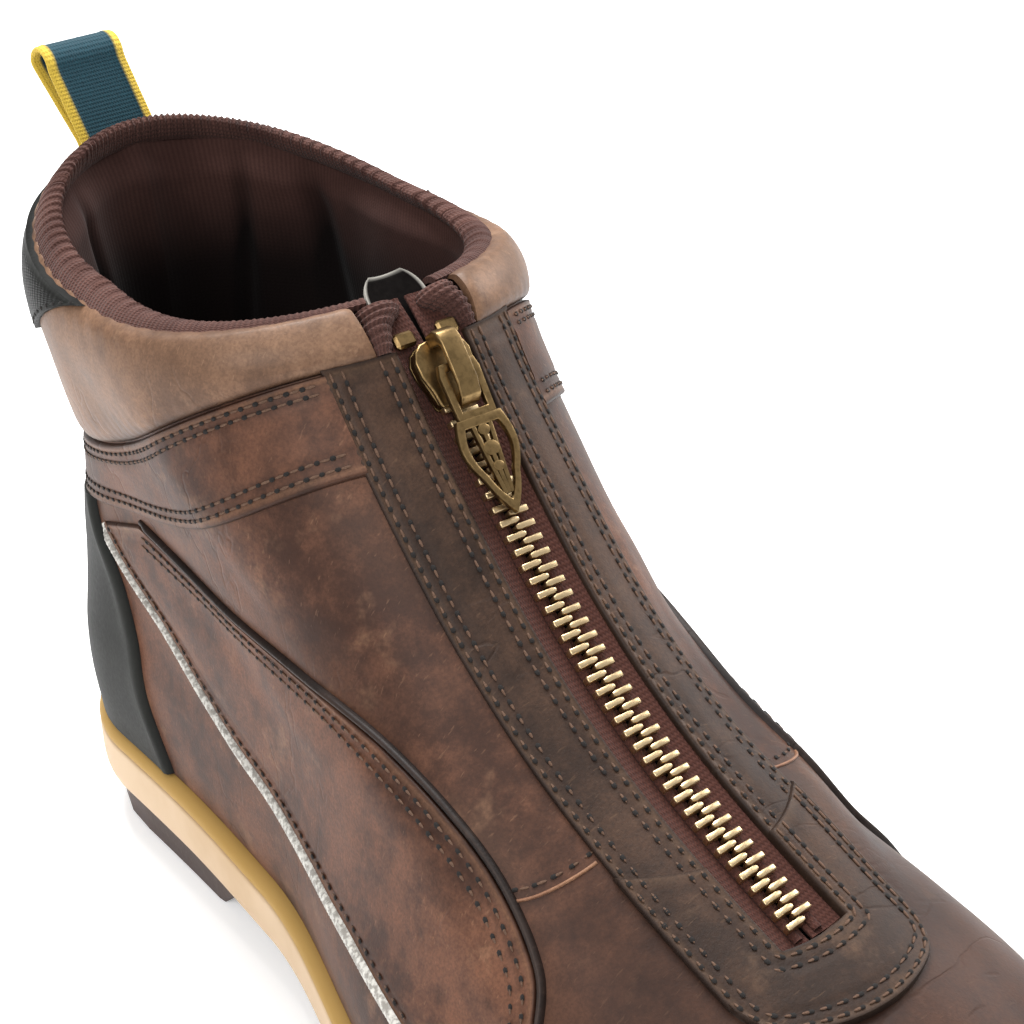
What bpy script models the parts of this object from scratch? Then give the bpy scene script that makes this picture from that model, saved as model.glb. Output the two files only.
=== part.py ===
"""A right paddock boot with a front zip, standing on its sole, in metres.

The toe points along -Y, +X is the inner side of the foot and +Z is up. The origin is on the floor,
in the middle of the heel's tread. A place on the upper is a level, from 0 at the feather line to 1 at
the rim, and a turn, from 0 at the front ridge to 1 at the back, with the outer side negative.
"""
import math

import bmesh
import bpy
import numpy as np

for old in list(bpy.data.objects):
    bpy.data.objects.remove(old, do_unlink=True)

# Driving sizes of the last and the shaft
LAST_LENGTH = 0.294
BALL_WIDTH = 0.106
WAIST_WIDTH = 0.072
HEEL_WIDTH = 0.071
SHAFT_HEIGHT = 0.136
INNER_SWING = 0.009
WAIST_SWING = 0.003
SHAFT_LEAN = 0.004
HEEL_CENTRE = 0.040

# Driving sizes of the sole
HEEL_HEIGHT = 0.030
FOREFOOT_HEIGHT = 0.022
TOE_SPRING = 0.011
MIDSOLE_HEEL = 0.0168
MIDSOLE_FOREFOOT = 0.0125
WAIST_SOLE = 0.0030
WELT = 0.0032
TREAD_INSET = 0.0020
HEEL_BREAST = 0.080
INSOLE = 0.0038
LUG_DEPTH = 0.0035
LUG_PITCH = 0.0135
LUG_GROOVE = 0.0045

# The upper's wall, its padded collar and the clearance between pieces that touch
WALL = 0.0024
PAD = 0.0075
ROLL_PROUD = 0.0026
RIM_ROUND = 0.0024
GAP = 0.0003
LIFT = 0.0006

# The zip and the strips beside it
ZIP_LENGTH = 0.152
SLOT_WIDTH = 0.0156
SLOT_SPREAD = 0.0040
CHAIN_WIDTH = 0.0076
CHAIN_HEIGHT = 0.0022
TAPE = 0.0005
FLAP = 0.0008
SLIDER_START = 0.0125
SLIDER_LENGTH = 0.0135
SLIDER_WIDTH = 0.0122
PULL_LENGTH = 0.0315
PULL_WIDTH = 0.0134
PULL_THICK = 0.0016
PLACKET_REACH = 0.0240
PLACKET = 0.0015
CAP_ABOVE = 0.021
CAP_BELOW = 0.018
CAP = 0.0019

# Overlays
BAND = 0.0014
PANEL = 0.0012
COUNTER = 0.0018
TAB = 0.0012
TOE_CAP = 0.0014
REFLECTIVE_WIDTH = 0.0030
EDGE_CORD_WIDTH = 0.0022
LOOP_WIDTH = 0.0200
LOOP_HEIGHT = 0.0215
LOOP_LEAN = 0.0055
LOOP_SHIFT = -0.0030
LOOP_DEPTH = 0.0085
LOOP_TAPE = 0.0013

# Sections of the upper from the feather line to the rim. Back, front and end radii are shares of
# LAST_LENGTH, the three heights are shares of SHAFT_HEIGHT, the half widths are shares of HEEL_WIDTH,
# WAIST_WIDTH and BALL_WIDTH, and follow is how far a section keeps the curve of the sole.
SECTION_COLUMNS = (
    "back", "front", "high_back", "high_middle", "high_front",
    "heel", "waist", "ball", "round_back", "round_front", "follow",
)
SECTIONS = np.array((
    (0.011, 0.995, 0.000, 0.000, 0.000, 0.475, 0.475, 0.475, 0.119, 0.250, 1.00),
    (0.007, 0.999, 0.085, 0.085, 0.080, 0.485, 0.489, 0.488, 0.122, 0.252, 1.00),
    (0.005, 0.976, 0.170, 0.170, 0.170, 0.485, 0.490, 0.472, 0.124, 0.242, 0.80),
    (0.006, 0.918, 0.250, 0.240, 0.240, 0.470, 0.478, 0.434, 0.126, 0.227, 0.60),
    (0.010, 0.838, 0.332, 0.315, 0.298, 0.465, 0.488, 0.398, 0.129, 0.212, 0.40),
    (0.017, 0.752, 0.418, 0.395, 0.364, 0.478, 0.512, 0.386, 0.133, 0.202, 0.20),
    (0.024, 0.664, 0.508, 0.487, 0.451, 0.492, 0.534, 0.386, 0.140, 0.196, 0.10),
    (0.027, 0.579, 0.594, 0.577, 0.567, 0.515, 0.562, 0.398, 0.148, 0.190, 0.00),
    (0.026, 0.511, 0.680, 0.667, 0.698, 0.548, 0.598, 0.418, 0.154, 0.183, 0.00),
    (0.021, 0.457, 0.781, 0.762, 0.819, 0.582, 0.628, 0.438, 0.162, 0.179, 0.00),
    (0.011, 0.423, 0.896, 0.852, 0.911, 0.612, 0.650, 0.453, 0.168, 0.175, 0.00),
    (0.008, 0.392, 1.008, 0.925, 0.970, 0.610, 0.640, 0.445, 0.169, 0.171, 0.00),
))

# The roll's seam falls from the front to the back, as shares of level and turn
SEAM_FRONT = 0.905
SEAM_DROP = 0.355
SEAM_START = 0.12
SEAM_RUN = 0.92
BAND_LEVELS = 0.118

# Lines across the outer side, from the ankle band down to the sole, as (level, turn)
EDGE_LINE = (
    (0.556, 0.640), (0.552, 0.560), (0.548, 0.490), (0.555, 0.400), (0.558, 0.340),
    (0.545, 0.290), (0.510, 0.255), (0.455, 0.243), (0.370, 0.262), (0.285, 0.300),
    (0.190, 0.330), (0.100, 0.345), (0.012, 0.350),
)
REFLECTIVE_LINE = (
    (0.484, 0.733), (0.420, 0.700), (0.360, 0.655), (0.290, 0.622), (0.240, 0.592),
    (0.212, 0.550), (0.203, 0.505), (0.196, 0.460), (0.165, 0.420), (0.105, 0.388), (0.012, 0.372),
)
COUNTER_FRONT = ((0.010, 0.705), (0.120, 0.722), (0.280, 0.722), (0.400, 0.732), (0.505, 0.757))
TOE_CAP_LINE = ((0.010, 0.270), (0.110, 0.225), (0.185, 0.165), (0.232, 0.080), (0.247, 0.000))

# The black tab on the back of the roll, as shares up the roll and turns of its front edge
TAB_LOW = 0.58
TAB_HIGH = 0.935
TAB_FRONT_LOW = 0.66
TAB_FRONT_HIGH = 0.48


def ease(share):
    """A smooth step from 0 to 1."""
    share = np.clip(share, 0.0, 1.0)
    return share * share * (3.0 - 2.0 * share)


def section_row(level):
    """The values of SECTIONS at a level, on a smooth curve through the rows."""
    last = len(SECTIONS) - 1
    place = np.clip(level, 0.0, 1.0) * last
    below = np.minimum(place.astype(int), last - 1)
    step = (place - below)[..., None]
    before = SECTIONS[np.maximum(below - 1, 0)]
    start = SECTIONS[below]
    end = SECTIONS[below + 1]
    after = SECTIONS[np.minimum(below + 2, last)]
    slope = end - before
    bend = 2.0 * before - 5.0 * start + 4.0 * end - after
    twist = 3.0 * start - before - 3.0 * end + after
    return 0.5 * (2.0 * start + slope * step + bend * step ** 2 + twist * step ** 3)


def feather_height(along):
    """Height of the feather line above the floor at a share of the last's length from the back."""
    drop = (FOREFOOT_HEIGHT - HEEL_HEIGHT) * ease((along - 0.22) / 0.36)
    spring = TOE_SPRING * np.clip((along - 0.68) / 0.32, 0.0, 1.3) ** 2
    return HEEL_HEIGHT + drop + spring


def centre_line(along):
    """Sideways place of the last's middle at a share of its length."""
    inward = INNER_SWING * np.clip((along - 0.6) / 0.4, 0.0, 1.2) ** 1.5
    outward = WAIST_SWING * np.exp(-((along - 0.5) / 0.2) ** 2)
    return inward - outward


def half_width(along, heel, waist, ball):
    """Half width at a share of the length, from shares of the three widths."""
    to_waist = ease((along - 0.12) / 0.26)
    to_ball = ease((along - 0.36) / 0.28)
    rear = HEEL_WIDTH * heel * (1.0 - to_waist) + WAIST_WIDTH * waist * to_waist
    return rear * (1.0 - to_ball) + BALL_WIDTH * ball * to_ball


def round_end(distance, radius):
    """Share of the full width at a distance from a rounded end."""
    return np.sqrt(np.clip(1.0 - (1.0 - np.clip(distance / radius, 0.0, 1.0)) ** 2, 0.0, 1.0))


def last_point(level, turn):
    """A point of the last's surface."""
    level, turn = np.broadcast_arrays(np.asarray(level, float), np.asarray(turn, float))
    row = dict(zip(SECTION_COLUMNS, np.moveaxis(section_row(level), -1, 0)))
    share = (1.0 + np.cos(math.pi * turn)) / 2.0
    along = row["back"] + (row["front"] - row["back"]) * share
    half = half_width(along, row["heel"], row["waist"], row["ball"])
    half = half * round_end(along - row["back"], row["round_back"])
    half = half * round_end(row["front"] - along, row["round_front"])
    high = row["high_back"] * (1.0 - share) * (1.0 - 2.0 * share)
    high = high + 4.0 * row["high_middle"] * share * (1.0 - share)
    high = high + row["high_front"] * share * (2.0 * share - 1.0)
    curve = row["follow"] * (feather_height(along) - HEEL_HEIGHT)
    x = centre_line(along) * (1.0 - 0.5 * ease(1.2 * level)) + SHAFT_LEAN * ease((level - 0.2) / 0.7)
    return np.stack((
        x + np.sign(turn) * half,
        HEEL_CENTRE - along * LAST_LENGTH,
        HEEL_HEIGHT + SHAFT_HEIGHT * high + curve,
    ), -1)


def last_normal(level, turn):
    """The outward normal of the last's surface."""
    level, turn = np.broadcast_arrays(np.asarray(level, float), np.asarray(turn, float))
    side = np.where(turn < 0.0, -1.0, 1.0)
    depth = np.clip(np.abs(turn), 0.004, 0.996)
    low = np.clip(level - 0.006, 0.0, 0.988)
    up = last_point(low + 0.012, side * depth) - last_point(low, side * depth)
    round_ = last_point(level, side * (depth + 0.004)) - last_point(level, side * (depth - 0.004))
    normal = np.cross(round_, up) * side[..., None]
    # On the ridge and at the back the normal has no sideways part
    flat = (np.abs(turn) < 0.004) | (np.abs(turn) > 0.996)
    normal[..., 0] = np.where(flat, 0.0, normal[..., 0])
    return normal / np.linalg.norm(normal, axis=-1, keepdims=True)


def seam_level(turn):
    """Level of the seam below the padded roll."""
    return SEAM_FRONT - SEAM_DROP * ease((np.abs(turn) - SEAM_START) / SEAM_RUN)


def roll_share(level, turn):
    """How far a place is up the padded roll, from 0 at its seam to 1 at the rim."""
    seam = seam_level(turn)
    return np.clip((level - seam) / (1.0 - seam), 0.0, 1.0)


def roll_out(level, turn):
    """How far the padded roll stands out from the last."""
    share = roll_share(level, turn)
    bulge = ROLL_PROUD * np.sin(math.pi * share) ** 0.6
    return bulge - RIM_ROUND * np.clip((share - 0.75) / 0.25, 0.0, 1.0) ** 2


def shell_point(level, turn, offset):
    """A point at a distance out from the upper's outer face."""
    level, turn = np.broadcast_arrays(np.asarray(level, float), np.asarray(turn, float))
    out = np.asarray(offset + roll_out(level, turn))
    return last_point(level, turn) + last_normal(level, turn) * out[..., None]


TURNS = np.linspace(0.0, 0.5, 101)


def turn_at(level, reach):
    """The turn whose distance from the ridge along a section is the given reach."""
    level, reach = np.broadcast_arrays(np.asarray(level, float), np.asarray(reach, float))
    found = np.zeros(level.shape)
    for place in np.ndindex(level.shape):
        path = last_point(level[place], TURNS)
        steps = np.linalg.norm(np.diff(path, axis=0), axis=1)
        found[place] = np.interp(reach[place], np.concatenate(((0.0,), np.cumsum(steps))), TURNS)
    return found


RIDGE_LEVELS = np.linspace(1.0, 0.0, 401)
RIDGE = last_point(RIDGE_LEVELS, 0.0)
RIDGE_RUN = np.concatenate(((0.0,), np.cumsum(np.linalg.norm(np.diff(RIDGE, axis=0), axis=1))))


def level_down(distance):
    """The level on the front ridge at a distance down from the rim."""
    return np.interp(distance, RIDGE_RUN, RIDGE_LEVELS)


def ridge_frame(distance):
    """Point, down direction, inner-side direction and outward direction on the front ridge."""
    step = 0.002
    point = last_point(level_down(distance), 0.0)
    down = last_point(level_down(distance + step), 0.0) - last_point(level_down(distance - step), 0.0)
    down = down / np.linalg.norm(down, axis=-1, keepdims=True)
    side = np.broadcast_to(np.array((1.0, 0.0, 0.0)), down.shape)
    side = side - down * np.sum(side * down, axis=-1, keepdims=True)
    side = side / np.linalg.norm(side, axis=-1, keepdims=True)
    return point, down, side, np.cross(down, side)


def zip_point(distance, across, height):
    """A point beside and above the ridge, in the flat frame that the zip follows."""
    distance, across, height = np.broadcast_arrays(
        np.asarray(distance, float), np.asarray(across, float), np.asarray(height, float))
    point, _, side, out = ridge_frame(distance)
    return point + side * across[..., None] + out * height[..., None]


def smooth_line(points, count):
    """A row of (level, turn) places on a smooth curve through the given ones."""
    points = np.array(points)
    place = np.linspace(0.0, len(points) - 1.0, count)
    below = np.minimum(place.astype(int), len(points) - 2)
    step = (place - below)[:, None]
    before = points[np.maximum(below - 1, 0)]
    start = points[below]
    end = points[below + 1]
    after = points[np.minimum(below + 2, len(points) - 1)]
    bend = 2.0 * before - 5.0 * start + 4.0 * end - after
    twist = 3.0 * start - before - 3.0 * end + after
    return 0.5 * (2.0 * start + (end - before) * step + bend * step ** 2 + twist * step ** 3)


def moved_line(line, distance):
    """A line of places moved sideways along the surface, towards the toe for a positive distance."""
    level, turn = line[:, 0], line[:, 1]
    small = 0.002
    by_level = (last_point(level + small, turn) - last_point(level - small, turn)) / (2.0 * small)
    by_turn = (last_point(level, turn + small) - last_point(level, turn - small)) / (2.0 * small)
    path = last_point(level, turn)
    ahead = np.gradient(path, axis=0)
    ahead = ahead / np.linalg.norm(ahead, axis=1, keepdims=True)
    across = np.cross(ahead, last_normal(level, turn)) * distance
    moved = line.copy()
    for i in range(len(line)):
        basis = np.stack((by_level[i], by_turn[i]), 1)
        moved[i] += np.linalg.lstsq(basis, across[i], rcond=None)[0]
    return moved


def make_material(name, colour, roughness, metallic=0.0):
    """A plain material in a linear colour."""
    material = bpy.data.materials.new(name)
    material.use_nodes = True
    shader = material.node_tree.nodes["Principled BSDF"]
    shader.inputs["Base Color"].default_value = (*colour, 1.0)
    shader.inputs["Roughness"].default_value = roughness
    shader.inputs["Metallic"].default_value = metallic
    return material


LEATHER = make_material("brown_leather", (0.118, 0.066, 0.050), 0.55)
DARK_LEATHER = make_material("dark_leather", (0.068, 0.040, 0.032), 0.55)
BLACK_RUBBER = make_material("black_rubber", (0.020, 0.023, 0.023), 0.50)
TAN_FOAM = make_material("tan_foam", (0.560, 0.390, 0.215), 0.60)
DARK_RUBBER = make_material("dark_rubber", (0.085, 0.060, 0.055), 0.65)
FOOTBED = make_material("footbed_textile", (0.050, 0.042, 0.040), 0.90)
REFLECTIVE = make_material("reflective_cord", (0.420, 0.400, 0.370), 0.35)
ZIP_TAPE = make_material("zip_tape", (0.055, 0.022, 0.024), 0.85)
BRASS = make_material("pale_brass", (0.700, 0.520, 0.270), 0.28, 1.0)
OLD_BRASS = make_material("old_brass", (0.330, 0.245, 0.115), 0.35, 1.0)
BLACK_LEATHER = make_material("black_leather", (0.018, 0.016, 0.015), 0.50)
LOOP_CLOTH = make_material("teal_loop_tape", (0.012, 0.050, 0.070), 0.80)


def add_object(name, shape, material, smooth=True):
    """Turn a bmesh into a named object whose faces point out."""
    bmesh.ops.recalc_face_normals(shape, faces=shape.faces)
    mesh = bpy.data.meshes.new(name)
    shape.to_mesh(mesh)
    shape.free()
    mesh.materials.append(material)
    if smooth:
        mesh.shade_smooth()
        mesh.set_sharp_from_angle(angle=math.radians(40.0))
    piece = bpy.data.objects.new(name, mesh)
    bpy.context.scene.collection.objects.link(piece)
    return piece


def add_wall(name, outside, inside, material, left_out=None, wrapped=False):
    """A closed wall between two like grids of points; cells that are left out are openings."""
    rows, columns = outside.shape[:2]
    cells = columns if wrapped else columns - 1
    kept = np.ones((rows - 1, cells), bool)
    if left_out is not None:
        kept &= ~left_out
    shape = bmesh.new()
    made = {}

    def vertex(grid, row, column):
        key = (grid, row, column % columns)
        if key not in made:
            points = inside if grid else outside
            made[key] = shape.verts.new(points[row, column % columns])
        return made[key]

    def is_kept(row, column):
        if wrapped:
            column = column % cells
        return 0 <= row < rows - 1 and 0 <= column < cells and kept[row, column]

    for row in range(rows - 1):
        for column in range(cells):
            if not kept[row, column]:
                continue
            ring = ((row, column), (row, column + 1), (row + 1, column + 1), (row + 1, column))
            beyond = ((row - 1, column), (row, column + 1), (row + 1, column), (row, column - 1))
            for grid in (0, 1):
                shape.faces.new([vertex(grid, *corner) for corner in ring])
            for k in range(4):
                if not is_kept(*beyond[k]):
                    first, second = ring[k], ring[(k + 1) % 4]
                    shape.faces.new((
                        vertex(0, *first), vertex(0, *second), vertex(1, *second), vertex(1, *first)))
    return add_object(name, shape, material)


def add_overlay(name, near, far, across, thickness, material, lift=LIFT, crown=0.0, side=-1.0):
    """A wall that lies on the upper between two lines of places, thicker in the middle by the crown."""
    share = np.linspace(0.0, 1.0, across + 1)[:, None]
    level = near[:, 0] + (far[:, 0] - near[:, 0]) * share
    turn = side * (near[:, 1] + (far[:, 1] - near[:, 1]) * share)
    height = lift + thickness + crown * np.sin(math.pi * share)
    outside = shell_point(level, turn, height)
    inside = shell_point(level, turn, lift)
    return add_wall(name, outside, inside, material)


# The upper: one hollow wall, open at the rim, along the zip and underneath.
def slot_reach(level):
    """Half the width of the zip's slot, wider at the rim where the two ends of the collar part."""
    return SLOT_WIDTH / 2.0 + SLOT_SPREAD * ease((level - 0.84) / 0.16)


SLOT_LEVEL = level_down(ZIP_LENGTH)
ROWS_BELOW = 7
ROWS_ABOVE = 8
COLUMNS = 24
END_CROWDING = 0.08
slot_share = SLOT_LEVEL / SEAM_FRONT
body_shares = np.concatenate((
    np.linspace(0.0, slot_share, ROWS_BELOW + 1), np.linspace(slot_share, 1.0, ROWS_ABOVE + 1)[1:]))
roll_steps = np.array((0.05, 0.20, 0.40, 0.58, 0.75, 0.88, 1.00))

ridge_levels = np.concatenate((body_shares * SEAM_FRONT, SEAM_FRONT + (1.0 - SEAM_FRONT) * roll_steps))
slot_turns = turn_at(ridge_levels, slot_reach(ridge_levels))
side_shares = np.linspace(0.0, 1.0, COLUMNS + 1)
side_shares = side_shares - END_CROWDING * np.sin(2.0 * math.pi * side_shares) / (2.0 * math.pi)
turns = slot_turns[:, None] + (1.0 - slot_turns[:, None]) * side_shares
ring_turns = np.concatenate((np.zeros((len(turns), 1)), -turns, turns[:, -2::-1]), axis=1)
seams = seam_level(ring_turns)
levels = np.concatenate((
    body_shares[:, None] * seams[:len(body_shares)],
    seams[len(body_shares):] + (1.0 - seams[len(body_shares):]) * roll_steps[:, None],
))

outside = shell_point(levels, ring_turns, 0.0)
padding = ease((levels - seams + 0.10) / 0.14)
rim_share = roll_share(levels, ring_turns)
depth = WALL + (PAD - WALL) * padding - RIM_ROUND * np.clip((rim_share - 0.75) / 0.25, 0.0, 1.0) ** 2
inside = last_point(levels, ring_turns) - last_normal(levels, ring_turns) * depth[..., None]

# A last pair of rows rounds the rim over
top_out = outside[-1] * 0.68 + inside[-1] * 0.32
top_in = outside[-1] * 0.32 + inside[-1] * 0.68
crest = np.array((0.0, 0.0, RIM_ROUND * 0.5))
outside = np.concatenate((outside, (top_out + crest)[None]))
inside = np.concatenate((inside, (top_in + crest)[None]))

# The lower edge sits flat on the midsole
for grid in (outside, inside):
    floor_line = feather_height((HEEL_CENTRE - grid[..., 1]) / LAST_LENGTH) + GAP
    grid[..., 2] = np.maximum(grid[..., 2], floor_line)
    grid[0, :, 2] = floor_line[0]

cells_left_out = np.zeros((len(outside) - 1, outside.shape[1]), bool)
cells_left_out[ROWS_BELOW:, 0] = True
cells_left_out[ROWS_BELOW:, -1] = True
add_wall("upper", outside, inside, LEATHER, cells_left_out, wrapped=True)


# The sole's plates: stations along the last, cut by a side profile, with rows across top and bottom.
STATIONS = 30
ACROSS = (-0.62, 0.0, 0.62)
station_turns = np.concatenate(((0.010,), np.linspace(0.0, 1.0, STATIONS + 1)[1:-1], (0.990,)))


def outline_point(turn, side, margin):
    """A point of the feather line moved out by a margin, seen from above."""
    point = last_point(0.0, side * turn)[..., :2]
    small = 0.004
    ahead = last_point(0.0, side * (turn + small))[..., :2] - last_point(0.0, side * (turn - small))[..., :2]
    out = np.stack((ahead[..., 1], -ahead[..., 0]), -1) * side
    out = out / np.linalg.norm(out, axis=-1, keepdims=True)
    return point + out * np.asarray(margin)[..., None]


def add_sole_plate(name, profile, top, bottom, material, turns_used=station_turns):
    """A plate whose side follows (share of height, margin) pairs between two height functions."""
    shape = bmesh.new()
    count = len(turns_used)
    rings = []
    for share, margin in profile:
        ring = []
        for side in (-1.0, 1.0):
            plan = outline_point(turns_used, side, np.full(count, margin))
            base = bottom(plan[:, 0], plan[:, 1])
            z = base + (top(plan[:, 0], plan[:, 1]) - base) * share
            ring.append([shape.verts.new((*plan[i], z[i])) for i in range(count)])
        rings.append(ring)
    for lower, upper_ring in zip(rings[:-1], rings[1:]):
        for side in (0, 1):
            for i in range(count - 1):
                shape.faces.new((
                    lower[side][i], lower[side][i + 1], upper_ring[side][i + 1], upper_ring[side][i]))
        for i in (0, count - 1):
            shape.faces.new((lower[0][i], lower[1][i], upper_ring[1][i], upper_ring[0][i]))
    for ring, height in ((rings[0], bottom), (rings[-1], top)):
        lines = [[ring[0][0], ring[1][0]]]
        for i in range(1, count - 1):
            left = np.array(ring[0][i].co)
            right = np.array(ring[1][i].co)
            line = [ring[0][i]]
            for share in ACROSS:
                place = (left + right) / 2.0 + (right - left) / 2.0 * share
                z = height(np.array(place[0]), np.array(place[1]))
                line.append(shape.verts.new((place[0], place[1], float(z))))
            line.append(ring[1][i])
            lines.append(line)
        lines.append([ring[0][-1], ring[1][-1]])
        for first, second in zip(lines[:-1], lines[1:]):
            if len(first) == len(second):
                for k in range(len(first) - 1):
                    shape.faces.new((first[k], first[k + 1], second[k + 1], second[k]))
            else:
                shape.faces.new(first + second[::-1])
    return add_object(name, shape, material)


def share_along(y):
    """Share of the last's length at a place along Y."""
    return (HEEL_CENTRE - y) / LAST_LENGTH


def midsole_thickness(along):
    """Thickness of the midsole, from the heel to the forefoot."""
    return MIDSOLE_HEEL + (MIDSOLE_FOREFOOT - MIDSOLE_HEEL) * ease((along - 0.30) / 0.34)


def midsole_top(x, y):
    return feather_height(share_along(y)) + 0.0 * x


def midsole_bottom(x, y):
    along = share_along(y)
    return feather_height(along) - midsole_thickness(along) + 0.0 * x


def outsole_top(x, y):
    return midsole_bottom(x, y) - GAP


def outsole_bottom(x, y):
    """The tread: a flat heel, a breast, a thin arched waist, a flat ball and the toe spring."""
    along = share_along(y)
    breast = HEEL_BREAST / LAST_LENGTH
    waist = midsole_bottom(x, y) - GAP - WAIST_SOLE
    rest = feather_height(along) - FOREFOOT_HEIGHT
    forefoot = np.where(along > 0.58, rest, 0.0)
    in_waist = ease((along - breast) / 0.012) * (1.0 - ease((along - 0.50) / 0.075))
    return forefoot + (waist - forefoot) * in_waist


MIDSOLE_PROFILE = (
    (0.00, WELT * 0.50), (0.14, WELT * 0.92), (0.78, WELT), (0.93, WELT * 0.70), (1.00, WELT * 0.15),
)
add_sole_plate("midsole", MIDSOLE_PROFILE, midsole_top, midsole_bottom, TAN_FOAM)

breast_share = HEEL_BREAST / LAST_LENGTH
breast_turns = [math.acos(1.0 - 2.0 * (breast_share + step)) / math.pi for step in (0.0, 0.004, 0.008, 0.012)]
outsole_turns = np.unique(np.concatenate((station_turns, 1.0 - np.array(breast_turns))))
OUTSOLE_PROFILE = ((0.00, -TREAD_INSET), (0.14, -TREAD_INSET * 0.35), (1.00, 0.0))
outsole = add_sole_plate(
    "outsole", OUTSOLE_PROFILE, outsole_top, outsole_bottom, DARK_RUBBER, outsole_turns)


def half_room(y, margin):
    """Middle and half width of the tread at a place along Y, less a margin."""
    along = np.clip(share_along(y), 0.02, 0.98)
    turn = math.acos(2.0 * (along - 0.011) / 0.984 - 1.0) / math.pi
    left = outline_point(np.array(turn), -1.0, -margin)[0]
    right = outline_point(np.array(turn), 1.0, -margin)[0]
    return (left + right) / 2.0, (right - left) / 2.0


def add_groove(shape, y, bow, margin):
    """A bowed groove across the tread, closed at both ends."""
    middle, half = half_room(y, margin)
    plan = (
        (-half, y), (0.0, y - bow), (half, y),
        (half, y + LUG_GROOVE), (0.0, y + LUG_GROOVE - bow), (-half, y + LUG_GROOVE),
    )
    rings = []
    tread = float(outsole_bottom(0.0, y))
    for z in (-0.004, tread + LUG_DEPTH):
        rings.append([shape.verts.new((middle + x, yy, z)) for x, yy in plan])
    shape.faces.new(rings[0])
    shape.faces.new(rings[1])
    for k in range(len(plan)):
        after = (k + 1) % len(plan)
        shape.faces.new((rings[0][k], rings[0][after], rings[1][after], rings[1][k]))


grooves = bmesh.new()
fore_start = HEEL_CENTRE - 0.600 * LAST_LENGTH
for index in range(7):
    add_groove(grooves, fore_start - index * LUG_PITCH, 0.006, 0.009)
for index in range(3):
    add_groove(grooves, 0.012 - index * LUG_PITCH * 1.25, 0.0, 0.010)
groove_cutter = add_object("tread_grooves", grooves, DARK_RUBBER, smooth=False)
groove_cutter.hide_render = True
groove_cutter.display_type = "WIRE"
cut = outsole.modifiers.new("tread", "BOOLEAN")
cut.operation = "DIFFERENCE"
cut.object = groove_cutter


def insole_bottom(x, y):
    return midsole_top(x, y) + GAP


def insole_top(x, y):
    return insole_bottom(x, y) + INSOLE


INSOLE_MARGIN = -(WALL + 6.0 * GAP)
add_sole_plate(
    "insole", ((0.0, INSOLE_MARGIN), (1.0, INSOLE_MARGIN)), insole_top, insole_bottom, FOOTBED,
    station_turns[::2])


# Overlays on the upper
def both_sides(lower, upper_line):
    """Lines that run from the outer side round the back to the inner side."""
    return [np.concatenate((line * (1.0, -1.0), line[-2::-1])) for line in (lower, upper_line)]


def add_round_overlay(name, lower, upper_line, across, thickness, material, lift=LIFT):
    """An overlay that goes round the back of the upper, from like lines on both sides."""
    near, far = both_sides(lower, upper_line)
    share = np.linspace(0.0, 1.0, across + 1)[:, None]
    level = near[:, 0] + (far[:, 0] - near[:, 0]) * share
    turn = near[:, 1] + (far[:, 1] - near[:, 1]) * share
    crossing = near[:, 1] * far[:, 1] <= 0.0
    turn[:, crossing] = 1.0
    outer_grid = shell_point(level, turn, lift + thickness)
    inner_grid = shell_point(level, turn, lift)
    return add_wall(name, outer_grid, inner_grid, material)


LEVEL_METRE = 1.0 / SHAFT_HEIGHT
placket_turn = float(turn_at(SEAM_FRONT, PLACKET_REACH))
band_turns = np.linspace(placket_turn + 0.006, 1.0, 19)
band_top = np.stack((seam_level(band_turns) - 1.6 * GAP * LEVEL_METRE, band_turns), 1)
band_low = np.stack((seam_level(band_turns) - BAND_LEVELS, band_turns), 1)
add_round_overlay("ankle_band", band_low, band_top, 3, BAND, DARK_LEATHER)

counter_lower = []
counter_upper = []
for turn in np.linspace(0.0, 1.0, 8):
    front_low = COUNTER_FRONT[0][1] + (1.0 - COUNTER_FRONT[0][1]) * turn
    front_high = COUNTER_FRONT[-1][1] + (1.0 - COUNTER_FRONT[-1][1]) * turn
    counter_lower.append((COUNTER_FRONT[0][0], front_low))
    counter_upper.append((seam_level(front_high) - BAND_LEVELS - 2.5 * GAP * LEVEL_METRE, front_high))
add_round_overlay(
    "heel_counter", np.array(counter_lower), np.array(counter_upper), 7, COUNTER, BLACK_RUBBER,
    lift=LIFT + GAP)

tab_steps = np.array((TAB_LOW, 0.66, 0.75, 0.82, 0.88, TAB_HIGH))
tab_front = TAB_FRONT_LOW + (TAB_FRONT_HIGH - TAB_FRONT_LOW) * (tab_steps - TAB_LOW) / (TAB_HIGH - TAB_LOW)
tab_side = tab_front[:, None] + (1.0 - tab_front[:, None]) * np.linspace(0.0, 1.0, 11)
tab_turns = np.concatenate((-tab_side, tab_side[:, -2::-1]), axis=1)
tab_seams = seam_level(tab_turns)
tab_levels = tab_seams + (1.0 - tab_seams) * tab_steps[:, None]
TAB_LIFT = LIFT + GAP
add_wall(
    "collar_tab", shell_point(tab_levels, tab_turns, TAB_LIFT + TAB),
    shell_point(tab_levels, tab_turns, TAB_LIFT), BLACK_LEATHER)

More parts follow.
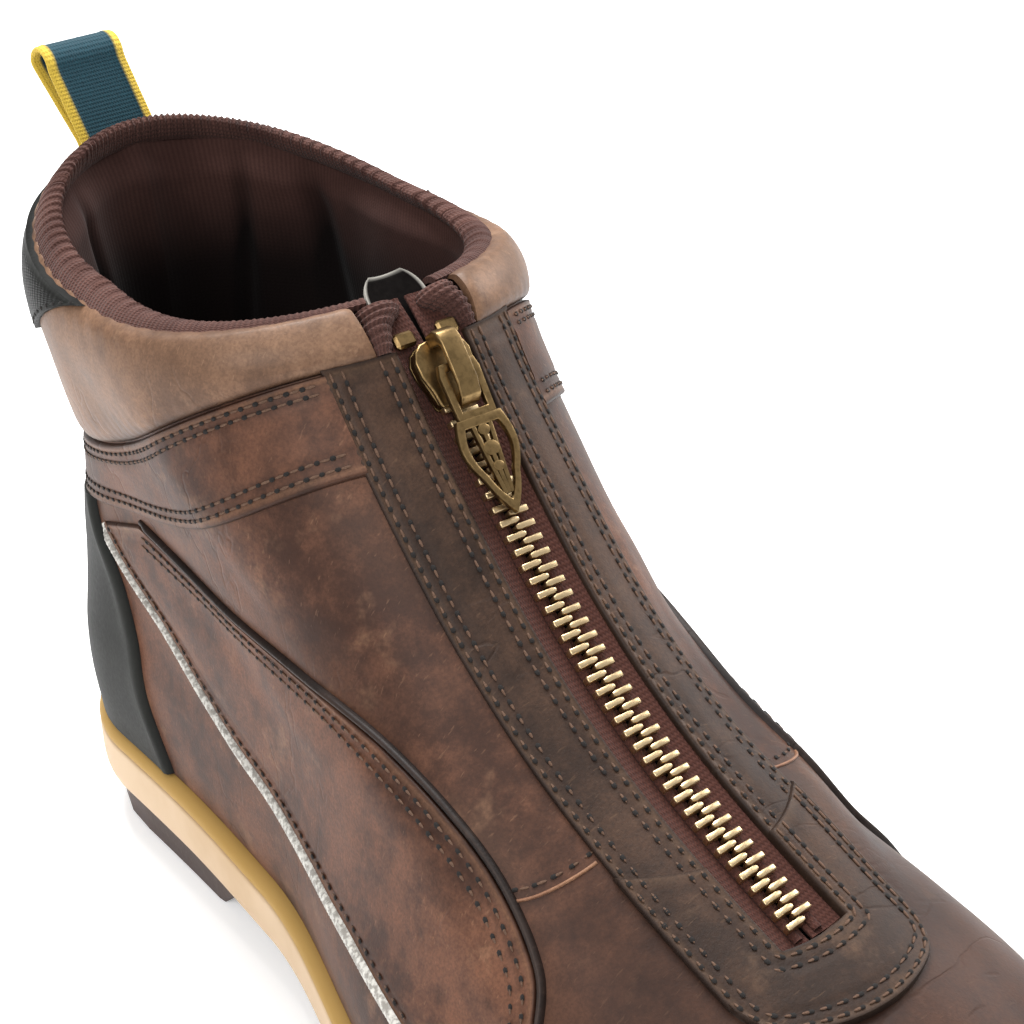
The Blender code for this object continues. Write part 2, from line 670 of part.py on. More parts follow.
edge_line = smooth_line(EDGE_LINE, 21)
reflective_line = smooth_line(REFLECTIVE_LINE, 21)
for side_name, side in (("outer", -1.0), ("inner", 1.0)):
    add_overlay(
        "edge_cord_" + side_name, moved_line(edge_line, -EDGE_CORD_WIDTH / 2.0),
        moved_line(edge_line, EDGE_CORD_WIDTH / 2.0), 2, PANEL * 0.9, DARK_LEATHER, crown=0.0008, side=side)
    add_overlay(
        "reflective_cord_" + side_name, moved_line(reflective_line, -REFLECTIVE_WIDTH / 2.0),
        moved_line(reflective_line, REFLECTIVE_WIDTH / 2.0), 2, PANEL * 0.9, REFLECTIVE, crown=0.0009,
        side=side)
    panel_near = moved_line(reflective_line, REFLECTIVE_WIDTH / 2.0 + 1.5 * GAP)
    panel_far = moved_line(edge_line, -EDGE_CORD_WIDTH / 2.0 - 1.5 * GAP)
    add_overlay(
        "side_panel_" + side_name, panel_near, panel_far, 7, PANEL, LEATHER, lift=LIFT + GAP, side=side)

cap_line = smooth_line(TOE_CAP_LINE, 11)
toe_near = np.concatenate((cap_line * (1.0, -1.0), cap_line[-2::-1]))
toe_far_turn = np.linspace(-TOE_CAP_LINE[0][1], TOE_CAP_LINE[0][1], len(toe_near))
toe_far = np.stack((np.full(len(toe_near), TOE_CAP_LINE[0][0] * 0.8), toe_far_turn), 1)
toe_share = np.linspace(0.0, 1.0, 8)[:, None]
toe_levels = toe_near[:, 0] + (toe_far[:, 0] - toe_near[:, 0]) * toe_share
toe_turns = toe_near[:, 1] + (toe_far[:, 1] - toe_near[:, 1]) * toe_share
add_wall(
    "toe_cap", shell_point(toe_levels[:, 1:-1], toe_turns[:, 1:-1], LIFT + TOE_CAP),
    shell_point(toe_levels[:, 1:-1], toe_turns[:, 1:-1], LIFT), LEATHER)


# The facing strips beside the zip and the cap that joins them below it
def facing_grid(distances, reaches, height):
    """A grid on the upper by distance down the ridge and reach to the side, plus the inner side."""
    level = np.broadcast_to(level_down(distances)[:, None], (len(distances), len(reaches)))
    reach = np.broadcast_to(reaches, level.shape)
    turn = np.sign(reach) * turn_at(level, np.abs(reach))
    return shell_point(level, turn, height)


SEAM_RUN_DOWN = float(np.interp(-SEAM_FRONT, -RIDGE_LEVELS, RIDGE_RUN))
facing_start = SEAM_RUN_DOWN + 3.0 * GAP
facing_end = ZIP_LENGTH - CAP_ABOVE - 3.0 * GAP
strip_runs = np.linspace(facing_start, facing_end, 15)
for side_name, side in (("outer", -1.0), ("inner", 1.0)):
    strip_shares = np.linspace(0.0, 1.0, 4)
    strip_rows = []
    for run in strip_runs:
        inner_reach = float(slot_reach(level_down(run))) + GAP
        strip_rows.append(inner_reach + (PLACKET_REACH - inner_reach) * strip_shares)
    strip_reach = side * np.array(strip_rows)
    strip_level = np.broadcast_to(level_down(strip_runs)[:, None], strip_reach.shape)
    strip_turn = side * turn_at(strip_level, np.abs(strip_reach))
    add_wall(
        "placket_" + side_name, shell_point(strip_level, strip_turn, LIFT + PLACKET),
        shell_point(strip_level, strip_turn, LIFT), DARK_LEATHER)

cap_runs = np.concatenate((
    np.linspace(ZIP_LENGTH - CAP_ABOVE, ZIP_LENGTH + GAP, 4), ZIP_LENGTH + CAP_BELOW * np.array((0.3, 0.65, 1.0))))
slot_side = SLOT_WIDTH / 2.0 + GAP
cap_reaches = np.array((-1.0, -0.80, -0.55, 0.55, 0.80, 1.0)) * PLACKET_REACH
cap_reaches[2], cap_reaches[3] = -slot_side, slot_side
cap_reaches = np.insert(cap_reaches, 3, 0.0)
cap_open = np.zeros((len(cap_runs) - 1, len(cap_reaches) - 1), bool)
cap_open[:3, 2:4] = True
add_wall(
    "placket_cap", facing_grid(cap_runs, cap_reaches, LIFT + CAP), facing_grid(cap_runs, cap_reaches, LIFT),
    DARK_LEATHER, cap_open)


# The zip: two tapes, two rows of teeth, stops, a slider and its pull
TAPE_TOP = -0.0015
CHAIN_LOW = TAPE_TOP + GAP
CHAIN_HIGH = CHAIN_LOW + CHAIN_HEIGHT
chain_start = SLIDER_START + SLIDER_LENGTH + GAP
chain_end = ZIP_LENGTH - 0.0035
tape_runs = np.linspace(0.0035, ZIP_LENGTH - 0.0014, 15)


def add_strip(name, runs, reach_from, reach_to, low, high, material, side=1.0):
    """A flat strip along the zip between two reaches and two heights."""
    reach = np.stack((reach_from, reach_to), 1) * side
    run = np.broadcast_to(runs[:, None], reach.shape)
    return add_wall(name, zip_point(run, reach, high), zip_point(run, reach, low), material)


tape_levels = level_down(tape_runs)
tape_edge = slot_reach(tape_levels) - 0.0006
spread = SLOT_SPREAD * 0.45 * ease((0.012 - tape_runs) / 0.012)
chain_runs = np.linspace(chain_start, chain_end, 14)
chain_reach = np.full(len(chain_runs), CHAIN_WIDTH / 2.0)
for side_name, side in (("outer", -1.0), ("inner", 1.0)):
    add_strip(
        "zip_tape_" + side_name, tape_runs, 0.0005 + spread, tape_edge, TAPE_TOP - TAPE, TAPE_TOP, ZIP_TAPE,
        side)
    add_strip(
        "zip_teeth_" + side_name, chain_runs, chain_reach * 0.0 + GAP / 2.0, chain_reach, CHAIN_LOW, CHAIN_HIGH,
        BRASS, side)

flap_runs = np.linspace(0.0010, ZIP_LENGTH - 0.003, 13)
flap_reach = slot_reach(level_down(flap_runs)) - 0.0017
flap_top = TAPE_TOP - TAPE - 1.5 * GAP
add_strip("zip_flap", flap_runs, -flap_reach, flap_reach, flap_top - FLAP, flap_top, BLACK_LEATHER)


def add_block(shape, runs, across, heights):
    """A block in the zip's frame, from ranges of run, reach and height."""
    corners = [
        shape.verts.new(zip_point(run, reach, height))
        for run in runs for reach in across for height in heights]
    for ring in ((0, 1, 3, 2), (4, 5, 7, 6), (0, 1, 5, 4), (2, 3, 7, 6), (0, 2, 6, 4), (1, 3, 7, 5)):
        shape.faces.new([corners[k] for k in ring])


def add_bevel(piece, width, segments=2):
    """Round the edges of a hard piece."""
    bevel = piece.modifiers.new("edges", "BEVEL")
    bevel.width = width
    bevel.segments = segments
    bevel.limit_method = "ANGLE"
    bevel.angle_limit = math.radians(35.0)
    return bevel


for side_name, middle in (("outer", -0.0052), ("inner", 0.0052)):
    stop_shape = bmesh.new()
    add_block(
        stop_shape, (0.0085, 0.0118), (middle - 0.0024, middle + 0.0024), (TAPE_TOP + GAP, TAPE_TOP + 0.0022))
    add_bevel(add_object("zip_stop_" + side_name, stop_shape, OLD_BRASS), 0.0006, 1)

slider_end = SLIDER_START + SLIDER_LENGTH
PLATE_TOP = CHAIN_HIGH + 0.0019
CROWN_TOP = PLATE_TOP + 0.0047
CROWN_WIDTH = 0.0044
CROWN_LEG = 0.0024
crown_start = SLIDER_START + 0.0016
crown_end = slider_end - 0.0020
PIN_HEIGHT = PLATE_TOP + 0.0022
pin_run = (crown_start + crown_end) / 2.0

slider_shape = bmesh.new()
plan_runs = (SLIDER_START, SLIDER_START + 0.0040, slider_end)
plan_halves = (SLIDER_WIDTH * 0.42, SLIDER_WIDTH / 2.0, SLIDER_WIDTH * 0.40)
plan = [(run, half) for run, half in zip(plan_runs, plan_halves)]
plan += [(run, -half) for run, half in zip(plan_runs[::-1], plan_halves[::-1])]
slider_rings = []
for height in (CHAIN_LOW, PLATE_TOP):
    slider_rings.append([slider_shape.verts.new(zip_point(run, half, height)) for run, half in plan])
slider_shape.faces.new(slider_rings[0])
slider_shape.faces.new(slider_rings[1])
for k in range(len(plan)):
    after = (k + 1) % len(plan)
    slider_shape.faces.new((
        slider_rings[0][k], slider_rings[0][after], slider_rings[1][after], slider_rings[1][k]))
slider = add_object("zip_slider", slider_shape, OLD_BRASS)

crown_shape = bmesh.new()
arch = (
    (crown_start, PLATE_TOP - 0.0006), (crown_start, CROWN_TOP - 0.0010), (crown_start + 0.0012, CROWN_TOP),
    (crown_end - 0.0012, CROWN_TOP), (crown_end, CROWN_TOP - 0.0010), (crown_end, PLATE_TOP - 0.0006),
    (crown_end - CROWN_LEG, PLATE_TOP - 0.0006), (crown_end - CROWN_LEG, CROWN_TOP - 0.0012),
    (crown_start + CROWN_LEG, CROWN_TOP - 0.0012), (crown_start + CROWN_LEG, PLATE_TOP - 0.0006),
)
arch_rings = []
for reach in (-CROWN_WIDTH / 2.0, CROWN_WIDTH / 2.0):
    arch_rings.append([crown_shape.verts.new(zip_point(run, reach, height)) for run, height in arch])
crown_shape.faces.new(arch_rings[0])
crown_shape.faces.new(arch_rings[1])
for k in range(len(arch)):
    after = (k + 1) % len(arch)
    crown_shape.faces.new((arch_rings[0][k], arch_rings[0][after], arch_rings[1][after], arch_rings[1][k]))
crown = add_object("slider_crown", crown_shape, OLD_BRASS)
crown.hide_render = True
crown.display_type = "WIRE"
join = slider.modifiers.new("crown", "BOOLEAN")
join.operation = "UNION"
join.object = crown

# The pull hangs on a cross pin under the crown and lies down the zip
pin_point = zip_point(pin_run, 0.0, PIN_HEIGHT)
rest_point = zip_point(pin_run + PULL_LENGTH, 0.0, CHAIN_HIGH + GAP + PULL_THICK / 2.0 + 0.0003)
pull_down = (rest_point - pin_point) / np.linalg.norm(rest_point - pin_point)
pull_side = ridge_frame(np.array(pin_run))[2]
pull_side = pull_side - pull_down * np.dot(pull_side, pull_down)
pull_side = pull_side / np.linalg.norm(pull_side)
pull_out = np.cross(pull_down, pull_side)

ARM = 0.0017
ARM_OUT = 0.0048
PIN_RADIUS = 0.00075
YOKE = 0.0105
SHIELD_STEPS = 9


def shield_half(share):
    """Half width of the pull's pointed pendant at a share of its length."""
    return PULL_WIDTH / 2.0 * (0.80 + 0.20 * math.sin(math.pi * min(1.0, share * 1.6))) * (1.0 - share ** 3.2)


shield_start = YOKE - 0.0004
shield_length = PULL_LENGTH - shield_start
right_side = [(-PIN_RADIUS, ARM_OUT), (YOKE, ARM_OUT)]
for step in range(SHIELD_STEPS):
    share = step / SHIELD_STEPS
    right_side.append((shield_start + 0.0006 + share * (shield_length - 0.0006), shield_half(share)))
pull_outline = right_side + [(PULL_LENGTH, 0.0)] + [(run, -reach) for run, reach in right_side[::-1]]
yoke_hole = ((PIN_RADIUS, -ARM_OUT + ARM), (PIN_RADIUS, ARM_OUT - ARM), (YOKE - ARM * 0.6, ARM_OUT - ARM),
             (YOKE - ARM * 0.6, -ARM_OUT + ARM))


def side_hole(side):
    """One of the two openings beside the pendant's middle bar."""
    low = shield_start + 0.0030
    high = shield_start + shield_length * 0.74
    hole = [(low, side * 0.0010), (high, side * 0.0010)]
    for share in (0.62, 0.42, 0.22):
        reach = shield_half(share) - 0.0019
        hole.append((shield_start + share * shield_length, side * reach))
    return hole


pull_shape = bmesh.new()
for outline in (pull_outline, yoke_hole, side_hole(1.0), side_hole(-1.0)):
    verts = [pull_shape.verts.new((run, reach, -PULL_THICK / 2.0)) for run, reach in outline]
    for k in range(len(verts)):
        pull_shape.edges.new((verts[k], verts[(k + 1) % len(verts)]))
bmesh.ops.triangle_fill(pull_shape, use_beauty=True, use_dissolve=False, edges=pull_shape.edges)
grown = bmesh.ops.extrude_face_region(pull_shape, geom=pull_shape.faces[:])
for part in grown["geom"]:
    if isinstance(part, bmesh.types.BMVert):
        part.co.z += PULL_THICK
for vert in pull_shape.verts:
    run, reach, height = vert.co
    vert.co = pin_point + pull_down * run + pull_side * reach + pull_out * height
pull = add_object("zip_pull", pull_shape, OLD_BRASS)


# The pull loop: a folded tape that stands up behind the rim
loop_levels = np.array((0.900, 0.925, 0.950, 0.975))
leg_face = TAB_LIFT + TAB + 1.6 * GAP + LOOP_TAPE / 2.0
front_leg = shell_point(loop_levels, 1.0, leg_face)
back_leg = shell_point(loop_levels, 1.0, leg_face + LOOP_TAPE + 1.6 * GAP)
fold_centre = front_leg[-1] + np.array((
    LOOP_SHIFT, LOOP_DEPTH * 0.62 + LOOP_LEAN, LOOP_HEIGHT - LOOP_DEPTH / 2.0))
fold = [
    fold_centre + np.array((0.0, -math.cos(angle), math.sin(angle))) * LOOP_DEPTH / 2.0
    for angle in np.linspace(0.0, math.pi, 9)]
loop_path = [*front_leg, *fold, *back_leg[::-1]]
loop_path = np.array(loop_path)
loop_ahead = np.gradient(loop_path, axis=0)
loop_ahead = loop_ahead / np.linalg.norm(loop_ahead, axis=1, keepdims=True)
loop_out = np.cross(loop_ahead, (1.0, 0.0, 0.0))
loop_sides = (-LOOP_WIDTH / 2.0, LOOP_WIDTH / 2.0)
loop_faces = []
for half in (LOOP_TAPE / 2.0, -LOOP_TAPE / 2.0):
    loop_faces.append(np.stack([loop_path + loop_out * half + np.array((x, 0.0, 0.0)) for x in loop_sides], 1))
add_wall("pull_loop", loop_faces[0], loop_faces[1], LOOP_CLOTH)
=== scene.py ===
"""The looks of a right paddock boot with a front zip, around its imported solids, in metres."""
import math

import bmesh
import bpy
import mathutils
import numpy as np
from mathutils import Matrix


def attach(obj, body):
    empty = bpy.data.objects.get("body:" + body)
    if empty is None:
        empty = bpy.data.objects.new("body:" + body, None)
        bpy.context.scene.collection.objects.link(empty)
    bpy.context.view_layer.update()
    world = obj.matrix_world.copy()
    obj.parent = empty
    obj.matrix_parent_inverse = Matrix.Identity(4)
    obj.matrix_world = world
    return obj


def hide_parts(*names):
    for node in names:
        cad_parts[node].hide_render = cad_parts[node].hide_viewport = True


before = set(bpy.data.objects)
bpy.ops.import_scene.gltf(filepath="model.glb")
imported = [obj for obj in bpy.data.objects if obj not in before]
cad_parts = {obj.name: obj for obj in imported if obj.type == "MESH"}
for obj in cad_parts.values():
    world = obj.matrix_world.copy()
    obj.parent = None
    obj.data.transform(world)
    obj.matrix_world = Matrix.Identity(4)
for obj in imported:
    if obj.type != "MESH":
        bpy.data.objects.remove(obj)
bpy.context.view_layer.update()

# Upper. Thick oiled nubuck, pulled over a right last and cut open along the front for the zip. Its folds
# at the ankle and over the instep are soft, because the leather is backed with foam.
LAST_LENGTH = 0.294
BALL_WIDTH = 0.106
WAIST_WIDTH = 0.072
HEEL_WIDTH = 0.071
SHAFT_HEIGHT = 0.136
INNER_SWING = 0.009
WAIST_SWING = 0.003
SHAFT_LEAN = 0.004
HEEL_CENTRE = 0.040
HEEL_HEIGHT = 0.030
FOREFOOT_HEIGHT = 0.022
TOE_SPRING = 0.011
WALL = 0.0024
PAD = 0.0075
ROLL_PROUD = 0.0026
RIM_ROUND = 0.0024
GAP = 0.0003
SECTION_COLUMNS = (
    "back", "front", "high_back", "high_middle", "high_front",
    "heel", "waist", "ball", "round_back", "round_front", "follow",
)
SECTIONS = np.array((
    (0.011, 0.995, 0.000, 0.000, 0.000, 0.475, 0.475, 0.475, 0.119, 0.250, 1.00),
    (0.007, 0.999, 0.085, 0.085, 0.080, 0.485, 0.489, 0.488, 0.122, 0.252, 1.00),
    (0.005, 0.976, 0.170, 0.170, 0.170, 0.485, 0.490, 0.472, 0.124, 0.242, 0.80),
    (0.006, 0.918, 0.250, 0.240, 0.240, 0.470, 0.478, 0.434, 0.126, 0.227, 0.60),
    (0.010, 0.838, 0.332, 0.315, 0.298, 0.465, 0.488, 0.398, 0.129, 0.212, 0.40),
    (0.017, 0.752, 0.418, 0.395, 0.364, 0.478, 0.512, 0.386, 0.133, 0.202, 0.20),
    (0.024, 0.664, 0.508, 0.487, 0.451, 0.492, 0.534, 0.386, 0.140, 0.196, 0.10),
    (0.027, 0.579, 0.594, 0.577, 0.567, 0.515, 0.562, 0.398, 0.148, 0.190, 0.00),
    (0.026, 0.511, 0.680, 0.667, 0.698, 0.548, 0.598, 0.418, 0.154, 0.183, 0.00),
    (0.021, 0.457, 0.781, 0.762, 0.819, 0.582, 0.628, 0.438, 0.162, 0.179, 0.00),
    (0.011, 0.423, 0.896, 0.852, 0.911, 0.612, 0.650, 0.453, 0.168, 0.175, 0.00),
    (0.008, 0.392, 1.008, 0.925, 0.970, 0.610, 0.640, 0.445, 0.169, 0.171, 0.00),
))
SEAM_FRONT = 0.905
SEAM_DROP = 0.355
SEAM_START = 0.12
SEAM_RUN = 0.92


def ease(share):
    """A smooth step from 0 to 1."""
    share = np.clip(share, 0.0, 1.0)
    return share * share * (3.0 - 2.0 * share)


def bell(distance, width):
    """1 at a place, fading to nothing within about twice the width on both sides."""
    return np.exp(-(distance / width) ** 2)


def unit(vectors):
    """Vectors drawn to a length of 1."""
    return vectors / np.linalg.norm(vectors, axis=-1, keepdims=True)


def on_curve(rows, place):
    """The values of rows at a place counted in rows, on a smooth curve through them."""
    last = len(rows) - 1
    below = np.minimum(place.astype(int), last - 1)
    step = (place - below)[..., None]
    before = rows[np.maximum(below - 1, 0)]
    start = rows[below]
    end = rows[below + 1]
    after = rows[np.minimum(below + 2, last)]
    slope = end - before
    bend = 2.0 * before - 5.0 * start + 4.0 * end - after
    twist = 3.0 * start - before - 3.0 * end + after
    return 0.5 * (2.0 * start + slope * step + bend * step ** 2 + twist * step ** 3)


def feather_height(along):
    """Height of the feather line above the floor at a share of the last's length from the back."""
    drop = (FOREFOOT_HEIGHT - HEEL_HEIGHT) * ease((along - 0.22) / 0.36)
    spring = TOE_SPRING * np.clip((along - 0.68) / 0.32, 0.0, 1.3) ** 2
    return HEEL_HEIGHT + drop + spring


def half_width(along, heel, waist, ball):
    """Half width at a share of the length, from shares of the three widths."""
    to_waist = ease((along - 0.12) / 0.26)
    to_ball = ease((along - 0.36) / 0.28)
    rear = HEEL_WIDTH * heel * (1.0 - to_waist) + WAIST_WIDTH * waist * to_waist
    return rear * (1.0 - to_ball) + BALL_WIDTH * ball * to_ball


def round_end(distance, radius):
    """Share of the full width at a distance from a rounded end."""
    return np.sqrt(np.clip(1.0 - (1.0 - np.clip(distance / radius, 0.0, 1.0)) ** 2, 0.0, 1.0))


def last_point(level, turn):
    """A point of the last. Level runs from the feather line to the rim, turn from the front to the back."""
    level, turn = np.broadcast_arrays(np.asarray(level, float), np.asarray(turn, float))
    sections = on_curve(SECTIONS, np.clip(level, 0.0, 1.0) * (len(SECTIONS) - 1))
    row = dict(zip(SECTION_COLUMNS, np.moveaxis(sections, -1, 0)))
    share = (1.0 + np.cos(math.pi * turn)) / 2.0
    along = row["back"] + (row["front"] - row["back"]) * share
    half = half_width(along, row["heel"], row["waist"], row["ball"])
    half = half * round_end(along - row["back"], row["round_back"])
    half = half * round_end(row["front"] - along, row["round_front"])
    high = row["high_back"] * (1.0 - share) * (1.0 - 2.0 * share)
    high = high + 4.0 * row["high_middle"] * share * (1.0 - share)
    high = high + row["high_front"] * share * (2.0 * share - 1.0)
    curve = row["follow"] * (feather_height(along) - HEEL_HEIGHT)
    inward = INNER_SWING * np.clip((along - 0.6) / 0.4, 0.0, 1.2) ** 1.5
    outward = WAIST_SWING * bell(along - 0.5, 0.2)
    x = (inward - outward) * (1.0 - 0.5 * ease(1.2 * level)) + SHAFT_LEAN * ease((level - 0.2) / 0.7)
    return np.stack((
        x + np.sign(turn) * half,
        HEEL_CENTRE - along * LAST_LENGTH,
        HEEL_HEIGHT + SHAFT_HEIGHT * high + curve,
    ), -1)


def last_normal(level, turn):
    """The outward normal of the last's surface."""
    level, turn = np.broadcast_arrays(np.asarray(level, float), np.asarray(turn, float))
    side = np.where(turn < 0.0, -1.0, 1.0)
    depth = np.clip(np.abs(turn), 0.004, 0.996)
    low = np.clip(level - 0.006, 0.0, 0.988)
    up = last_point(low + 0.012, side * depth) - last_point(low, side * depth)
    round_ = last_point(level, side * (depth + 0.004)) - last_point(level, side * (depth - 0.004))
    normal = np.cross(round_, up) * side[..., None]
    flat = (np.abs(turn) < 0.004) | (np.abs(turn) > 0.996)
    normal[..., 0] = np.where(flat, 0.0, normal[..., 0])
    return unit(normal)


def seam_level(turn):
    """Level of the seam below the padded roll."""
    return SEAM_FRONT - SEAM_DROP * ease((np.abs(turn) - SEAM_START) / SEAM_RUN)


def roll_share(level, turn):
    """How far a place is up the padded roll, from 0 at its seam to 1 at the rim."""
    seam = seam_level(turn)
    return np.clip((level - seam) / (1.0 - seam), 0.0, 1.0)


def roll_level_at(share, turn):
    """The level at a share up the padded roll."""
    seam = seam_level(turn)
    return seam + (1.0 - seam) * share


def roll_out(level, turn):
    """How far the padded roll stands out from the last."""
    share = roll_share(level, turn)
    bulge = ROLL_PROUD * np.sin(math.pi * share) ** 0.6
    return bulge - RIM_ROUND * np.clip((share - 0.75) / 0.25, 0.0, 1.0) ** 2


# Each fold runs between two places (level, turn). Width and depth are in millimetres, a ridge is positive.
FOLD_COLUMNS = ("level_a", "turn_a", "level_b", "turn_b", "width", "depth")
FOLDS = np.array((
    (0.500, -0.520, 0.560, -0.300, 9.0, -1.10),
    (0.470, -0.450, 0.500, -0.280, 7.0, 0.60),
    (0.620, -0.400, 0.600, -0.180, 6.0, -0.60),
    (0.520, -0.620, 0.440, -0.500, 8.0, -0.50),
    (0.380, -0.420, 0.330, -0.300, 11.0, 0.60),
    (0.520, 0.440, 0.600, 0.200, 7.0, -1.20),
    (0.560, 0.420, 0.630, 0.190, 5.0, 0.70),
    (0.460, 0.420, 0.520, 0.180, 8.0, -0.90),
    (0.400, 0.340, 0.440, 0.150, 7.0, 0.60),
    (0.330, 0.300, 0.370, 0.120, 9.0, -0.70),
    (0.300, -0.220, 0.330, -0.080, 12.0, -0.50),
    (0.640, -0.880, 0.800, -0.860, 8.0, -0.90),
    (0.660, 0.860, 0.820, 0.880, 8.0, -0.90),
    (0.740, -0.560, 0.850, -0.540, 9.0, -0.50),
    (0.800, -0.360, 0.900, -0.340, 7.0, -0.45),
))
LEVEL_SPAN = 150.0
TURN_SPAN = 150.0


def fold_height(level, turn):
    """How far the folds lift or sink the leather."""
    place = np.stack((level * LEVEL_SPAN, turn * TURN_SPAN), -1)
    total = np.zeros(np.broadcast(level, turn).shape)
    for fold in FOLDS:
        row = dict(zip(FOLD_COLUMNS, fold))
        start = np.array((row["level_a"] * LEVEL_SPAN, row["turn_a"] * TURN_SPAN))
        run = np.array((row["level_b"] * LEVEL_SPAN, row["turn_b"] * TURN_SPAN)) - start
        share = np.clip(((place - start) @ run) / (run @ run), 0.0, 1.0)
        reach = np.linalg.norm(place - start - share[..., None] * run, axis=-1)
        total += row["depth"] / 1000.0 * bell(reach, row["width"])
    wave = np.sin(place[..., 0] / 9.0 + 1.3 * np.sin(place[..., 1] / 13.0))
    wave = wave * np.sin(place[..., 1] / 11.0 + 0.8 * np.sin(place[..., 0] / 17.0))
    return (total + 0.00022 * wave) * ease(level / 0.12)


def on_upper(level, turn, height):
    """A point at a height above the upper's outer face, folds included."""
    level, turn = np.broadcast_arrays(np.asarray(level, float), np.asarray(turn, float))
    out = np.asarray(height + roll_out(level, turn) + fold_height(level, turn))
    return last_point(level, turn) + last_normal(level, turn) * out[..., None]


class Shade:
    """A socket of a finish, so that shader maths reads as Python expressions."""

    def __init__(self, finish, socket):
        self.finish = finish
        self.socket = socket

    def maths(self, operation, first, second=0.0):
        return self.finish.node("ShaderNodeMath", {"operation": operation}, {0: first, 1: second})

    def __add__(self, other):
        return self.maths("ADD", self, other)

    def __radd__(self, other):
        return self.maths("ADD", other, self)

    def __sub__(self, other):
        return self.maths("SUBTRACT", self, other)

    def __rsub__(self, other):
        return self.maths("SUBTRACT", other, self)

    def __mul__(self, other):
        return self.maths("MULTIPLY", self, other)

    def __rmul__(self, other):
        return self.maths("MULTIPLY", other, self)

    def wave(self):
        return self.maths("SINE", self)

    def absolute(self):
        return self.maths("ABSOLUTE", self)

    def between(self, low, high):
        """0 below low, 1 above high and smooth between them."""
        return self.finish.node(
            "ShaderNodeMapRange", {"interpolation_type": "SMOOTHSTEP"}, {0: self, 1: low, 2: high})


class Finish:
    """A material that is put together from nodes."""

    def __init__(self, name, **constants):
        self.material = bpy.data.materials.new(name)
        self.material.use_nodes = True
        self.tree = self.material.node_tree
        self.shader = self.tree.nodes["Principled BSDF"]
        for socket, value in constants.items():
            self.shader.inputs[socket.replace("_", " ").title().replace("Ior", "IOR")].default_value = value
        self.normal = None

    def node(self, kind, settings, sockets, output=0):
        """Add a node: its settings first, then the values or links of its sockets."""
        node = self.tree.nodes.new(kind)
        for key, value in settings.items():
            setattr(node, key, value)
        for key, value in sockets.items():
            if isinstance(value, Shade):
                self.tree.links.new(value.socket, node.inputs[key])
            else:
                node.inputs[key].default_value = value
        return Shade(self, node.outputs[output])

    def place(self, scale=(1.0, 1.0, 1.0), source="Object", turn=0.0):
        """The piece's own coordinates in metres, stretched and turned."""
        where = self.node("ShaderNodeTexCoord", {}, {}, source)
        return self.node("ShaderNodeMapping", {}, {0: where, 2: (0.0, 0.0, turn), 3: scale})

    def noise(self, where, scale, detail=3.0, roughness=0.55):
        sockets = {"Vector": where, "Scale": scale, "Detail": detail, "Roughness": roughness}
        return self.node("ShaderNodeTexNoise", {}, sockets)

    def cells(self, where, scale, feature="F1"):
        return self.node("ShaderNodeTexVoronoi", {"feature": feature}, {"Vector": where, "Scale": scale})

    def axis(self, where, index):
        return self.node("ShaderNodeSeparateXYZ", {}, {0: where}, index)

    def mark(self, name):
        """A value that is stored on the piece's mesh."""
        return self.node("ShaderNodeAttribute", {"attribute_name": name}, {}, 2)

    def colour(self, factor, first, second):
        """The first colour at a factor of 0 and the second at 1."""
        first, second = [(*c, 1.0) if isinstance(c, tuple) else c for c in (first, second)]
        settings = {"data_type": "RGBA", "clamp_factor": True}
        return self.node("ShaderNodeMix", settings, {0: factor, 6: first, 7: second}, 2)

    def bump(self, height, distance, strength=1.0):
        """Add relief of a height in metres."""
        sockets = {"Height": height, "Distance": distance, "Strength": strength}
        if self.normal is not None:
            sockets["Normal"] = self.normal
        self.normal = self.node("ShaderNodeBump", {}, sockets)

    def done(self, base_color, roughness=None):
        """Link what changes over the surface and give the material back."""
        self.tree.links.new(base_color.socket, self.shader.inputs["Base Color"])
        if roughness is not None:
            self.tree.links.new(roughness.socket, self.shader.inputs["Roughness"])
        if self.normal is not None:
            self.tree.links.new(self.normal.socket, self.shader.inputs["Normal"])
        return self.material


def toned(colour, share):
    """A colour made lighter or darker by a share."""
    return tuple(share * value for value in colour)


